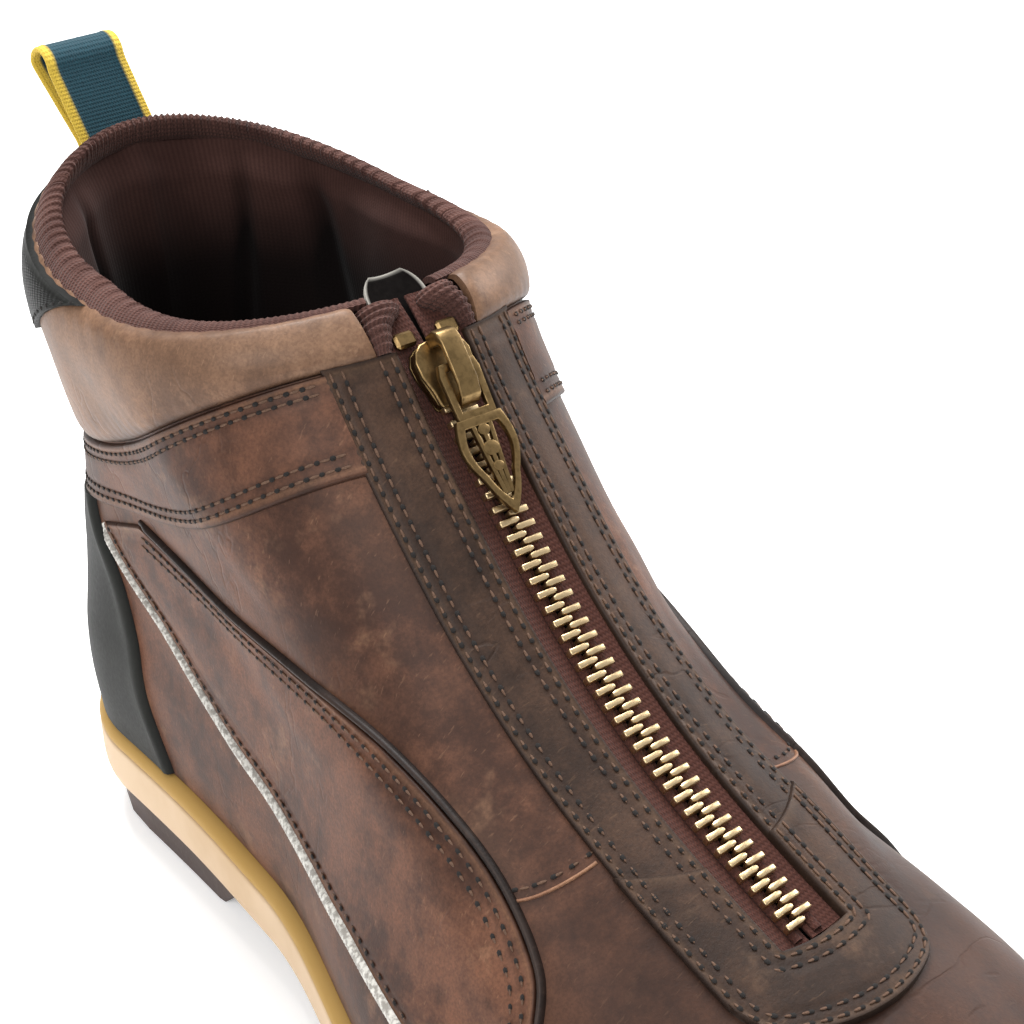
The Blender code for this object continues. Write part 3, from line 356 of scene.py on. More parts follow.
def oiled_nubuck(name, deep, middle, light, worn=0.5, gloss=0.0):
    """Nubuck soaked with oil: cloudy, paler where it is pulled or rubbed, with fine pores and scratches."""
    finish = Finish(name, specular_ior_level=0.20 + gloss, coat_weight=0.05 + gloss, coat_roughness=0.30)
    place = finish.place()
    clouds = finish.noise(place, 26.0, 5.0, 0.62)
    mottle = finish.noise(place, 170.0, 7.0, 0.72)
    nap = finish.noise(place, 1500.0, 3.0, 0.6)
    pores = finish.cells(place, 1250.0)
    long_place = finish.place((1.0, 7.0, 2.0), turn=0.6)
    scratch = finish.noise(long_place, 210.0, 2.0, 0.5).between(0.66, 0.74)
    scuff = finish.noise(place, 60.0, 4.0, 0.7).between(0.56, 0.72)
    tone = (clouds * 0.60 + mottle * 0.40).between(0.38, 0.62)
    colour = finish.colour(tone, deep, middle)
    colour = finish.colour((finish.mark("worn") * worn + scuff * 0.32 + scratch * 0.22), colour, light)
    # Dark mark: painted shade in fold troughs, the roll seam and stitch channels; also burnished cut edges
    # and the toe.
    colour = finish.colour(finish.mark("dark") * 0.75, colour, toned(deep, 0.38))
    colour = finish.colour(nap.between(0.35, 0.7) * 0.35, colour, toned(deep, 0.62))
    crease_place = finish.place((1.0, 2.6, 1.6), turn=-0.5)
    crease = (finish.noise(crease_place, 26.0, 3.0, 0.5) - 0.5).absolute().between(0.0, 0.022)
    creased = finish.noise(place, 17.0, 2.0).between(0.48, 0.62)
    finish.bump(crease * creased, 0.00035, 0.40)
    finish.bump(mottle, 0.00025, 0.35)
    finish.bump(nap - pores.between(0.0, 0.35) * 0.25, 0.00012, 0.55)
    roughness = 0.47 + mottle * 0.22 - finish.mark("worn") * 0.05
    return finish.done(colour, roughness)


def put_in_scene(name, data):
    """An object of the scene with the given data."""
    thing = bpy.data.objects.new(name, data)
    bpy.context.scene.collection.objects.link(thing)
    return thing


SHARP_ANGLE = math.radians(42.0)


def add_piece(name, mesh, body="boot"):
    """Put a mesh into the scene as a smooth piece that rides on a body."""
    mesh.shade_smooth()
    mesh.set_sharp_from_angle(angle=SHARP_ANGLE)
    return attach(put_in_scene(name, mesh), body)


def add_mark(mesh, name, values):
    """Store a value on each vertex of a mesh, for its finish to read."""
    mesh.attributes.new(name, "FLOAT", "POINT").data.foreach_set("value", values.astype(np.float32))


def wall_piece(name, outside, inside, material, left_out=None, wrapped=False, marks=None):
    """A closed wall between two like grids of points, with its own UV map in metres."""
    rows, columns = outside.shape[:2]
    cells = columns if wrapped else columns - 1
    kept = np.ones((rows - 1, cells), bool)
    if left_out is not None:
        kept &= ~left_out
    count = rows * columns
    index = np.arange(count).reshape(rows, columns)
    after = np.roll(index, -1, axis=1)[:, :cells]
    before = index[:, :cells]
    quads = np.stack((before[:-1], after[:-1], after[1:], before[1:]), -1)
    u_path = np.linalg.norm(np.diff(outside[rows // 2], axis=0, append=outside[rows // 2, :1]), axis=1)
    v_path = np.linalg.norm(np.diff(outside[:, columns // 3], axis=0), axis=1)
    u = np.concatenate(((0.0,), np.cumsum(u_path)))
    v = np.concatenate(((0.0,), np.cumsum(v_path)))
    j, i = np.meshgrid(np.arange(cells), np.arange(rows - 1))
    corners = np.stack((
        np.stack((u[j], v[i]), -1), np.stack((u[j + 1], v[i]), -1),
        np.stack((u[j + 1], v[i + 1]), -1), np.stack((u[j], v[i + 1]), -1)), 2)
    near = np.zeros((rows + 1, cells + 2), bool)
    near[1:-1, 1:-1] = kept
    if wrapped:
        near[1:-1, 0] = kept[:, -1]
        near[1:-1, -1] = kept[:, 0]
    beyond = (near[:-2, 1:-1], near[1:-1, 2:], near[2:, 1:-1], near[1:-1, :-2])
    faces = [quads[kept], quads[kept][:, ::-1] + count]
    uvs = [corners[kept], corners[kept][:, ::-1]]
    for k in range(4):
        edge = kept & ~beyond[k]
        first, second = quads[edge][:, k], quads[edge][:, (k + 1) % 4]
        faces.append(np.stack((second, first, first + count, second + count), 1))
        first_uv, second_uv = corners[edge][:, k], corners[edge][:, (k + 1) % 4]
        uvs.append(np.stack((second_uv, first_uv, first_uv, second_uv), 1))
    faces = np.concatenate(faces)
    uvs = np.concatenate(uvs)
    points = np.concatenate((outside.reshape(-1, 3), inside.reshape(-1, 3)))
    used, faces = np.unique(faces, return_inverse=True)
    faces = faces.reshape(-1, 4)
    points = points[used]
    a, b, c, d = (points[faces[:, k]] for k in range(4))
    volume = np.einsum("ij,ij->", a, np.cross(b, c)) + np.einsum("ij,ij->", a, np.cross(c, d))
    if volume < 0.0:
        faces, uvs = faces[:, ::-1], uvs[:, ::-1]
    mesh = bpy.data.meshes.new(name)
    mesh.from_pydata(points.tolist(), [], faces.tolist())
    mesh.uv_layers.new(name="UVMap").uv.foreach_set("vector", uvs.reshape(-1).astype(np.float32))
    for mark, grid in (marks or {}).items():
        add_mark(mesh, mark, np.tile(np.broadcast_to(grid, (rows, columns)).reshape(-1), 2)[used])
    mesh.materials.append(material)
    return add_piece(name, mesh)


def run_along(points, axis=0):
    """Distances along rows of points, from 0 at the start of each row."""
    run = np.cumsum(np.linalg.norm(np.diff(points, axis=axis), axis=-1), axis=axis)
    return np.concatenate((np.zeros_like(run.take((0,), axis)), run), axis=axis)


def round_back(half):
    """Turns from one side's front round the back to the other's, from those of one half."""
    return np.concatenate((-half, half[..., -2::-1]), axis=-1)


SIDES = (("outer", -1.0), ("inner", 1.0))
SLOT_WIDTH = 0.0156
SLOT_SPREAD = 0.0008
ZIP_LENGTH = 0.152
TURNS = np.linspace(0.0, 0.5, 301)
RIDGE_LEVELS = np.linspace(1.0, 0.0, 401)
RIDGE_RUN = run_along(last_point(RIDGE_LEVELS, 0.0))


def turn_at(level, reach):
    """The turns whose distances from the ridge are the given reaches, for a row of levels."""
    level = np.asarray(level, float)
    run = run_along(last_point(level[:, None], TURNS[None, :]), 1)
    reach = np.atleast_2d(reach.T).T if reach.ndim == 1 else reach
    return np.stack([np.interp(reach[k], run[k], TURNS) for k in range(len(level))])


def level_down(distance):
    """The level on the front ridge at a distance down from the rim."""
    return np.interp(distance, RIDGE_RUN, RIDGE_LEVELS)


def slot_reach(level):
    """Half the width of the zip's slot, wider at the rim where the two ends of the collar part."""
    return SLOT_WIDTH / 2.0 + SLOT_SPREAD * ease((level - 0.84) / 0.16)


BODY_ROWS_BELOW = 44
BODY_ROWS_ABOVE = 58
BODY_COLUMNS = 120
slot_share = float(level_down(ZIP_LENGTH)) / SEAM_FRONT
body_shares = np.concatenate((
    np.linspace(0.0, slot_share, BODY_ROWS_BELOW + 1),
    np.linspace(slot_share, 1.0, BODY_ROWS_ABOVE + 1)[1:]))
body_slot = turn_at(body_shares * SEAM_FRONT, slot_reach(body_shares * SEAM_FRONT))
body_side = body_slot + (1.0 - body_slot) * np.linspace(0.0, 1.0, BODY_COLUMNS + 1)
body_turns = np.concatenate((np.zeros((len(body_side), 1)), round_back(body_side)), axis=1)
body_levels = body_shares[:, None] * seam_level(body_turns)


def to_floor_line(grid, margin=GAP):
    """Keep the lowest row of a grid on the midsole's top face."""
    floor_line = feather_height((HEEL_CENTRE - grid[..., 1]) / LAST_LENGTH) + margin
    grid[..., 2] = np.maximum(grid[..., 2], floor_line)
    return grid


NUBUCK_DEEP = (0.040, 0.0155, 0.0085)
NUBUCK_MIDDLE = (0.146, 0.0610, 0.0335)
NUBUCK_LIGHT = (0.320, 0.170, 0.096)
upper_leather = oiled_nubuck("brown_nubuck", NUBUCK_DEEP, NUBUCK_MIDDLE, NUBUCK_LIGHT)
body_fold = fold_height(body_levels, body_turns)
body_outside = to_floor_line(on_upper(body_levels, body_turns, 0.0))
body_inside = to_floor_line(on_upper(body_levels, body_turns, -WALL))
body_open = np.zeros((len(body_outside) - 1, body_outside.shape[1]), bool)
body_open[BODY_ROWS_BELOW:, 0] = True
body_open[BODY_ROWS_BELOW:, -1] = True
toe_darkening = 0.80 * ease((-body_outside[..., 1] - 0.135) / 0.050)
# Painted shade in the fold troughs, with the leather also darker towards the toe.
body_shade_and_toe_darkening = np.clip(np.clip(-body_fold / 0.0012, 0.0, 1.0) * 0.5 + toe_darkening, 0.0, 1.0)
upper = wall_piece(
    "upper_leather", body_outside, body_inside, upper_leather, body_open, wrapped=True,
    marks={"worn": np.clip(body_fold / 0.0009, 0.0, 1.0) * 0.5, "dark": body_shade_and_toe_darkening})
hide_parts("upper")


# Stitching. Bonded brown thread in lockstitch: each stitch is a short bead of thread between two needle
# holes, laid along a seam at an even pitch.
STITCH_PITCH = 0.0033
STITCH_LENGTH = 0.0022
STITCH_SEED = 3
STITCH_WOBBLE = 0.10
STITCH_SINK = 0.00006
THREAD = 0.00058
HOLE = 0.00120
HOLE_LIFT = 0.00004


def row_tree():
    """Geometry Nodes that set a shape along rows of points, turned to the rows and to the surface."""
    tree = bpy.data.node_groups.new("shapes_in_rows", "GeometryNodeTree")
    interface = tree.interface
    interface.new_socket("Geometry", in_out="OUTPUT", socket_type="NodeSocketGeometry")
    interface.new_socket("Geometry", in_out="INPUT", socket_type="NodeSocketGeometry")
    for name, kind in (
            ("Pitch", "NodeSocketFloat"), ("Shape", "NodeSocketObject"), ("Finish", "NodeSocketMaterial"),
            ("Wobble", "NodeSocketFloat"), ("Seed", "NodeSocketInt")):
        interface.new_socket(name, in_out="INPUT", socket_type=kind)
    nodes, links = tree.nodes, tree.links
    given = nodes.new("NodeGroupInput")
    made = nodes.new("NodeGroupOutput")
    curve = nodes.new("GeometryNodeMeshToCurve")
    spaced = nodes.new("GeometryNodeResampleCurve")
    spaced.mode = "LENGTH"
    tangent = nodes.new("GeometryNodeInputTangent")
    out = nodes.new("GeometryNodeInputNamedAttribute")
    out.data_type = "FLOAT_VECTOR"
    out.inputs["Name"].default_value = "out"
    ahead = nodes.new("FunctionNodeAlignRotationToVector")
    ahead.axis = "X"
    upright = nodes.new("FunctionNodeAlignRotationToVector")
    upright.axis = "Z"
    upright.pivot_axis = "X"
    shape = nodes.new("GeometryNodeObjectInfo")
    random = nodes.new("FunctionNodeRandomValue")
    random.data_type = "FLOAT_VECTOR"
    smallest = nodes.new("ShaderNodeMath")
    smallest.operation = "SUBTRACT"
    smallest.inputs[0].default_value = 1.0
    largest = nodes.new("ShaderNodeMath")
    largest.inputs[0].default_value = 1.0
    copies = nodes.new("GeometryNodeInstanceOnPoints")
    real = nodes.new("GeometryNodeRealizeInstances")
    finish = nodes.new("GeometryNodeSetMaterial")
    for source, output, target, socket in (
            (given, "Geometry", curve, "Mesh"), (curve, "Curve", spaced, "Curve"),
            (given, "Pitch", spaced, "Length"), (tangent, "Tangent", ahead, "Vector"),
            (ahead, "Rotation", upright, "Rotation"), (out, "Attribute", upright, "Vector"),
            (given, "Shape", shape, "Object"), (given, "Wobble", smallest, 1),
            (given, "Wobble", largest, 1), (smallest, "Value", random, "Min"),
            (largest, "Value", random, "Max"), (given, "Seed", random, "Seed"),
            (spaced, "Curve", copies, "Points"), (shape, "Geometry", copies, "Instance"),
            (upright, "Rotation", copies, "Rotation"), (random, "Value", copies, "Scale"),
            (copies, "Instances", real, "Geometry"), (real, "Geometry", finish, "Geometry"),
            (given, "Finish", finish, "Material"), (finish, "Geometry", made, "Geometry")):
        links.new(source.outputs[output], target.inputs[socket])
    return tree


shapes_in_rows = row_tree()


def bead_shape(name, size, segments=6, rings=4):
    """A small rounded bead with a few dozen faces, kept out of the scene as a pattern for rows."""
    shape = bmesh.new()
    bmesh.ops.create_uvsphere(shape, u_segments=segments, v_segments=rings, radius=0.5)
    bmesh.ops.rotate(shape, verts=shape.verts, matrix=mathutils.Matrix.Rotation(math.pi / 2.0, 3, "Y"))
    bmesh.ops.scale(shape, verts=shape.verts, vec=size)
    mesh = bpy.data.meshes.new(name)
    shape.to_mesh(mesh)
    shape.free()
    return bpy.data.objects.new(name, mesh)


def plain_mesh(maker, name):
    """The plain mesh that a maker's modifier gives. The maker is taken away."""
    made = bpy.data.meshes.new_from_object(maker.evaluated_get(bpy.context.evaluated_depsgraph_get()))
    made.name = name
    bpy.data.objects.remove(maker, do_unlink=True)
    return made


def set_rows(name, rows, pitch, shape, material, wobble, seed):
    """A piece of shapes set along rows. A row is its points and the outward directions there."""
    mesh = bpy.data.meshes.new(name)
    points = np.concatenate([row[0] for row in rows])
    outs = np.concatenate([row[1] for row in rows])
    edges = []
    start = 0
    for row in rows:
        edges += [(start + k, start + k + 1) for k in range(len(row[0]) - 1)]
        start += len(row[0])
    mesh.from_pydata(points.tolist(), edges, [])
    mesh.attributes.new("out", "FLOAT_VECTOR", "POINT").data.foreach_set("vector", outs.reshape(-1))
    guide = put_in_scene(name + "_rows", mesh)
    modifier = guide.modifiers.new("rows", "NODES")
    modifier.node_group = shapes_in_rows
    values = {"Pitch": pitch, "Shape": shape, "Finish": material, "Wobble": wobble, "Seed": seed}
    for item in shapes_in_rows.interface.items_tree:
        if item.in_out == "INPUT" and item.name in values:
            modifier[item.identifier] = values[item.name]
    return add_piece(name, plain_mesh(guide, name))


stitch_shape = bead_shape("stitch_pattern", (STITCH_LENGTH, THREAD, THREAD * 0.8))
hole_shape = bead_shape("hole_pattern", (HOLE * 1.2, HOLE * 0.85, HOLE * 0.35), 8, 3)


def thread_finish(name, colour, dark):
    """Waxed thread with a faint twist."""
    finish = Finish(name, roughness=0.70, specular_ior_level=0.2)
    place = finish.place()
    twist = finish.noise(place, 2600.0, 2.0)
    finish.bump(twist, 0.0001, 0.6)
    return finish.done(finish.colour(twist, dark, colour))


thread = thread_finish("brown_thread", (0.175, 0.102, 0.067), (0.048, 0.026, 0.017))
# Needle holes are dark beads: painted shade for the unlit holes between stitches.
hole_shade_finish = Finish("needle_holes", roughness=0.9, base_color=(0.006, 0.004, 0.003, 1.0)).material


def sew(name, places, height, colour=thread):
    """Stitches along rows of (level, turn) places at a height on the upper, with dark beads as painted hole
    shade.
    """
    rows = []
    hole_rows = []
    for place in places:
        points = on_upper(place[:, 0], place[:, 1], height)
        run = run_along(points)
        outs = last_normal(place[:, 0], place[:, 1])
        rows.append((points, outs))
        shifted = np.clip(run + STITCH_PITCH / 2.0, 0.0, run[-1])
        moved = np.stack([np.interp(shifted, run, points[:, k]) for k in range(3)], -1)
        hole_rows.append((moved + outs * HOLE_LIFT, outs))
    for part, places_of_part, shape, finish in (
            ("_stitches", rows, stitch_shape, colour), ("_needle_holes", hole_rows, hole_shape, hole_shade_finish)):
        set_rows(name + part, places_of_part, STITCH_PITCH, shape, finish, STITCH_WOBBLE, STITCH_SEED)


def smooth_line(points, count):
    """A row of (level, turn) places on a smooth curve through the given ones."""
    return on_curve(np.array(points), np.linspace(0.0, len(points) - 1.0, count))


def moved_line(line, distance):
    """A line of places moved sideways along the surface, towards the toe for a positive distance."""
    level, turn = line[:, 0], line[:, 1]
    small = 0.002
    by_level = (last_point(level + small, turn) - last_point(level - small, turn)) / (2.0 * small)
    by_turn = (last_point(level, turn + small) - last_point(level, turn - small)) / (2.0 * small)
    ahead = unit(np.gradient(last_point(level, turn), axis=0))
    distance = np.broadcast_to(distance, level.shape)
    across = np.cross(ahead, last_normal(level, turn)) * distance[:, None]
    moved = line.copy()
    for i in range(len(line)):
        basis = np.stack((by_level[i], by_turn[i]), 1)
        moved[i] += np.linalg.lstsq(basis, across[i], rcond=None)[0]
    return moved


def mirrored(line, side):
    return line * (1.0, side)


VAMP_SEAM = ((0.431, 0.252), (0.444, 0.225), (0.458, 0.198), (0.472, 0.170), (0.486, 0.140))
vamp_line = smooth_line(VAMP_SEAM, 40)
sew("vamp_seam", [mirrored(moved_line(vamp_line, 0.0020), side) for side in (-1.0, 1.0)], 0.00014)


# Overlays of the upper. Each is a cut piece of leather whose edge is pared and burnished dark, sewn down
# with rows of stitches that pull it into a shallow channel.
def edge_profile(distance, thickness, roundness=0.0007):
    """Height of an overlay at a distance from its edge: rounded at the edge, flat inside."""
    share = np.clip(distance / roundness, 0.0, 1.0)
    return thickness * np.sqrt(np.clip(1.0 - (1.0 - share) ** 2, 0.0, 1.0))


def channel(distance, rows, depth=0.00028, width=0.0009):
    """The dip that rows of stitches make at given distances from the edge."""
    return -depth * sum(bell(distance - row, width) for row in rows)


def edge_marks(distance, rows=()):
    """Dark at the burnished cut edge, painted shade in the stitch channel, worn just inside the edge."""
    dark = bell(distance, 0.0007)
    # Painted shade in each stitch channel.
    for row in rows:
        dark = dark + 0.35 * bell(distance - row, 0.0008)
    worn = 0.55 * bell(distance - 0.0014, 0.0006)
    return {"dark": np.clip(dark, 0.0, 1.0), "worn": worn}


def spread_steps(length, edge_steps, middle):
    """Distances from one edge to the other, close together near both edges."""
    edge_steps = np.array(edge_steps)
    return np.concatenate((
        edge_steps, np.linspace(edge_steps[-1], length - edge_steps[-1], middle + 2)[1:-1],
        length - edge_steps[::-1]))


OVERLAY_SINK = 0.0004


def laid_piece(name, level, turn, lift, material, left_out=None, marks=None, on_floor=False):
    """A piece that lies on the upper and reaches a little way into it."""
    faces = [on_upper(level, turn, lift), on_upper(level, turn, -OVERLAY_SINK)]
    if on_floor:
        faces = [to_floor_line(face) for face in faces]
    return wall_piece(name, *faces, material, left_out, marks=marks)


EDGE_STEPS = (0.0, 0.00008, 0.0002, 0.0004, 0.0007, 0.0012, 0.0018, 0.0025, 0.0033, 0.0041, 0.0050)


def overlay_between(name, near, far, thickness, material, rows, side):
    """An overlay between two lines of places, with rounded long edges and stitch channels."""
    width = np.linalg.norm(last_point(near[:, 0], near[:, 1]) - last_point(far[:, 0], far[:, 1]), axis=1)
    mean_width = float(np.median(width))
    steps = spread_steps(max(mean_width, 0.0125), EDGE_STEPS, 20)
    share = steps[:, None] / steps[-1]
    squeezed = np.minimum(1.0, width / steps[-1])
    distance = np.minimum(steps, steps[-1] - steps)[:, None] * squeezed
    level = near[:, 0] + (far[:, 0] - near[:, 0]) * share
    turn = side * (near[:, 1] + (far[:, 1] - near[:, 1]) * share)
    run = run_along(last_point(near[:, 0], near[:, 1]))
    distance = np.minimum(distance, np.minimum(run, run[-1] - run) + 0.0001)
    lift = edge_profile(distance, thickness) + channel(distance, rows)
    return laid_piece(name, level, turn, lift, material, marks=edge_marks(distance, rows))


PANEL = 0.0012
EDGE_CORD_WIDTH = 0.0022
REFLECTIVE_WIDTH = 0.0030
EDGE_LINE = (
    (0.556, 0.640), (0.552, 0.560), (0.548, 0.490), (0.555, 0.400), (0.558, 0.340),
    (0.545, 0.290), (0.510, 0.255), (0.455, 0.243), (0.370, 0.262), (0.285, 0.300),
    (0.190, 0.330), (0.100, 0.345), (0.012, 0.350),
)
REFLECTIVE_LINE = (
    (0.484, 0.733), (0.420, 0.700), (0.360, 0.655), (0.290, 0.622), (0.240, 0.592),
    (0.212, 0.550), (0.203, 0.505), (0.196, 0.460), (0.165, 0.420), (0.105, 0.388), (0.012, 0.372),
)
PANEL_STATIONS = 150
PANEL_ROWS = (0.0019, 0.0041)
edge_line = smooth_line(EDGE_LINE, PANEL_STATIONS)
reflective_line = smooth_line(REFLECTIVE_LINE, PANEL_STATIONS)
panel_leather = oiled_nubuck("panel_nubuck", NUBUCK_DEEP, toned(NUBUCK_MIDDLE, 1.06), NUBUCK_LIGHT, 0.6)
for side_name, side in SIDES:
    panel_near = moved_line(reflective_line, REFLECTIVE_WIDTH / 2.0 - 0.0004)
    panel_far = moved_line(edge_line, -EDGE_CORD_WIDTH / 2.0 + 0.0003)
    panel = overlay_between(
        "side_panel_leather_" + side_name, panel_near, panel_far, PANEL, panel_leather, PANEL_ROWS, side)
    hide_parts("side_panel_" + side_name)
    panel_seams = [moved_line(edge_line, -EDGE_CORD_WIDTH / 2.0 - step)[2:-2] for step in PANEL_ROWS]
    panel_seams.append(moved_line(reflective_line, REFLECTIVE_WIDTH / 2.0 + PANEL_ROWS[0])[2:-14])
    sew("side_panel_" + side_name, [mirrored(row, side) for row in panel_seams], PANEL + 0.00004)


# Piping. A dark leather cord is caught in the panel's upper seam, and a braid coated with light beads in
# its lower seam, which throws headlights back. The vamp's own cut edge shows as a thin pale line.
def piping(name, line, width, height, material, side, ribs=0.0, pitch=0.0011):
    """A half-round cord along a line of places."""
    across = np.linspace(-1.0, 1.0, 13)[:, None]
    run = run_along(last_point(line[:, 0], line[:, 1]))
    taper = np.clip(np.minimum(run, run[-1] - run) / 0.004, 0.25, 1.0) ** 0.5
    half = np.broadcast_to(width, run.shape) / 2.0
    lines = [mirrored(moved_line(line, half * share), side) for share in across[:, 0]]
    level = np.stack([row[:, 0] for row in lines])
    turn = np.stack([row[:, 1] for row in lines])
    crown = np.sqrt(np.clip(1.0 - across ** 2, 0.0, 1.0)) * height * taper
    twist = ribs * np.sin((run + across * half) / pitch * 2.0 * math.pi) * (1.0 - across ** 2)
    outside = on_upper(level, turn, crown + twist + 0.0001)
    inside = on_upper(level, turn, -0.0006)
    marks = {"dark": 0.0, "worn": bell(across, 0.35)}
    return wall_piece(name, outside, inside, material, marks=marks)


piping_leather = oiled_nubuck(
    "piping_leather", (0.008, 0.0045, 0.0035), (0.024, 0.0130, 0.0095), (0.070, 0.042, 0.030), 0.25, 0.02)
braid = Finish("reflective_braid", roughness=0.36, specular_ior_level=0.6)
braid_place = braid.place()
braid_beads = braid.cells(braid_place, 1500.0)
braid_specks = braid.noise(braid_place, 900.0, 2.0)
braid_colour = braid.colour(braid_specks.between(0.40, 0.62), (0.28, 0.26, 0.23), (0.62, 0.60, 0.55))
braid.bump(braid_beads, 0.00018, 0.8)
braid = braid.done(braid_colour, 0.30 + braid_specks * 0.3)
cord_line = smooth_line(EDGE_LINE, 260)
light_line = smooth_line(REFLECTIVE_LINE, 420)
light_width = REFLECTIVE_WIDTH * (0.62 + 0.58 * ease(np.linspace(0.0, 1.0, 420) / 0.6))
for side_name, side in SIDES:
    cord = piping(
        "edge_piping_" + side_name, cord_line, EDGE_CORD_WIDTH * 0.72, 0.0013, piping_leather, side)
    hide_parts("edge_cord_" + side_name)
    light_cord = piping(
        "reflective_piping_" + side_name, light_line, light_width, 0.0019, braid, side, 0.00010)
    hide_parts("reflective_cord_" + side_name)
edge_leather = oiled_nubuck("pale_cut_edge", NUBUCK_MIDDLE, NUBUCK_LIGHT, NUBUCK_LIGHT)
for side_name, side in SIDES:
    vamp_edge = piping("vamp_edge_" + side_name, vamp_line, 0.00065, 0.00035, edge_leather, side)


# Ankle band. A darker strip of nubuck sewn under the padded roll from zip to zip, with two rows of
# stitches along each edge. Its outer side is bare.
BAND = 0.0014
BAND_LEVELS = 0.118
PLACKET_REACH = 0.0240
BAND_ROWS = (0.0021, 0.0042)
BAND_STATIONS = 240
DARK_DEEP = (0.0215, 0.0105, 0.0062)
DARK_MIDDLE = (0.064, 0.0320, 0.0185)
DARK_LIGHT = (0.165, 0.094, 0.054)
strip_leather = oiled_nubuck("dark_nubuck", DARK_DEEP, DARK_MIDDLE, DARK_LIGHT, 0.8)
band_leather = oiled_nubuck("band_nubuck", NUBUCK_DEEP, toned(NUBUCK_MIDDLE, 0.92), NUBUCK_LIGHT, 0.6)
placket_turn = float(turn_at(np.array((SEAM_FRONT,)), np.array((PLACKET_REACH,)))[0, 0])
band_half = np.linspace(placket_turn - 0.004, 1.0, BAND_STATIONS // 2)
band_turns = round_back(band_half)


def round_line(level_below_seam):
    """A line round the back of the upper at a height below the roll's seam, as a share of the shaft."""
    return np.stack((seam_level(band_turns) - level_below_seam, band_turns), 1)


band_near = round_line(BAND_LEVELS)
band_far = round_line(0.002)
band_width = np.linalg.norm(
    last_point(band_near[:, 0], band_near[:, 1]) - last_point(band_far[:, 0], band_far[:, 1]), axis=1)
band_steps = spread_steps(float(np.median(band_width)), EDGE_STEPS, 12)
band_share = band_steps[:, None] / band_steps[-1]
band_level = band_near[:, 0] + (band_far[:, 0] - band_near[:, 0]) * band_share
band_distance = np.minimum(band_share, 1.0 - band_share) * band_width
band_lift = edge_profile(band_distance, BAND) + channel(band_distance, BAND_ROWS)
band = laid_piece(
    "ankle_band_strip", band_level, band_turns, band_lift, band_leather,
    marks=edge_marks(band_distance, BAND_ROWS))
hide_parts("ankle_band")
band_seams = []
for row in BAND_ROWS:
    for share in (row / band_width, 1.0 - row / band_width):
        level = band_near[:, 0] + (band_far[:, 0] - band_near[:, 0]) * share
        band_seams.append(np.stack((level, band_turns), 1)[3:-3])
sew("ankle_band", band_seams, BAND - STITCH_SINK)


# Heel counter. Black rubber moulded to the heel and bonded on, with a soft rim along its edges.
COUNTER = 0.0018
COUNTER_RIM = 0.00035
COUNTER_FRONT = ((0.010, 0.705), (0.120, 0.722), (0.280, 0.722), (0.400, 0.732), (0.505, 0.757))


def rubber(name, colour, worn, roughness, grain=0.00008):
    """Moulded rubber, faintly mottled and a little paler where it is rubbed."""
    finish = Finish(name, specular_ior_level=0.28)
    place = finish.place()
    clouds = finish.noise(place, 45.0, 4.0)
    fine = finish.noise(place, 900.0, 3.0, 0.65)
    tone = finish.colour(clouds.between(0.35, 0.7) * 0.6, colour, worn)
    tone = finish.colour(finish.mark("worn") * 0.6, tone, worn)
    tone = finish.colour(finish.mark("dark") * 0.7, tone, toned(colour, 0.35))
    finish.bump(fine, grain, 0.7)
    return finish.done(tone, roughness + fine * 0.18)


counter_rubber = rubber("counter_rubber", (0.0070, 0.0076, 0.0062), (0.017, 0.0182, 0.0148), 0.58)
counter_share = np.linspace(0.0, 1.0, 60)
counter_front = smooth_line(COUNTER_FRONT, 60)[:, 1:]
counter_half = counter_front + (1.0 - counter_front) * np.concatenate((
    (0.0, 0.006, 0.016, 0.03, 0.05, 0.08), np.linspace(0.12, 1.0, 26)))
counter_turns = round_back(counter_half)
counter_top = seam_level(counter_turns) - BAND_LEVELS + 0.004
counter_levels = 0.010 + (counter_top - 0.010) * counter_share[:, None]
counter_run = run_along(last_point(counter_levels, counter_turns), 1)
counter_edge = np.minimum(counter_run, counter_run[:, -1:] - counter_run)
counter_lift = edge_profile(counter_edge, COUNTER, 0.0014) + COUNTER_RIM * bell(counter_edge - 0.0022, 0.0008)
counter = laid_piece(
    "heel_counter_rubber", counter_levels, counter_turns, counter_lift, counter_rubber, on_floor=True,
    marks={"worn": bell(counter_edge - 0.0022, 0.0009), "dark": bell(counter_edge, 0.0005)})
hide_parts("heel_counter")


# Toe cap. A second layer of the same nubuck over the toe, with a burnished raised edge and two rows of
# stitches.
TOE_CAP = 0.0014
TOE_CAP_LINE = ((0.010, 0.270), (0.110, 0.225), (0.185, 0.165), (0.232, 0.080), (0.247, 0.000))
TOE_ROWS = (0.0021, 0.0042)
toe_half = smooth_line(TOE_CAP_LINE, 70)
toe_edge = np.concatenate((mirrored(toe_half, -1.0), toe_half[-2::-1]))
toe_sole_turn = np.linspace(-TOE_CAP_LINE[0][1], TOE_CAP_LINE[0][1], len(toe_edge))
toe_sole = np.stack((np.full(len(toe_edge), 0.006), toe_sole_turn), 1)
toe_reach = np.linalg.norm(
    last_point(toe_edge[:, 0], toe_edge[:, 1]) - last_point(toe_sole[:, 0], toe_sole[:, 1]), axis=1)
toe_share = np.concatenate((np.array(EDGE_STEPS) / 0.045, np.linspace(0.14, 1.0, 34)))[:, None]
toe_level = toe_edge[:, 0] + (toe_sole[:, 0] - toe_edge[:, 0]) * toe_share
toe_turn = toe_edge[:, 1] + (toe_sole[:, 1] - toe_edge[:, 1]) * toe_share
toe_distance = toe_share * toe_reach
toe_lift = edge_profile(toe_distance, TOE_CAP) + channel(toe_distance, TOE_ROWS)
toe_marks = edge_marks(toe_distance, TOE_ROWS)
toe_marks["dark"] = np.maximum(toe_marks["dark"], 0.55)
toe = laid_piece(
    "toe_cap_leather", toe_level, toe_turn, toe_lift, panel_leather, marks=toe_marks, on_floor=True)
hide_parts("toe_cap")
toe_seams = []
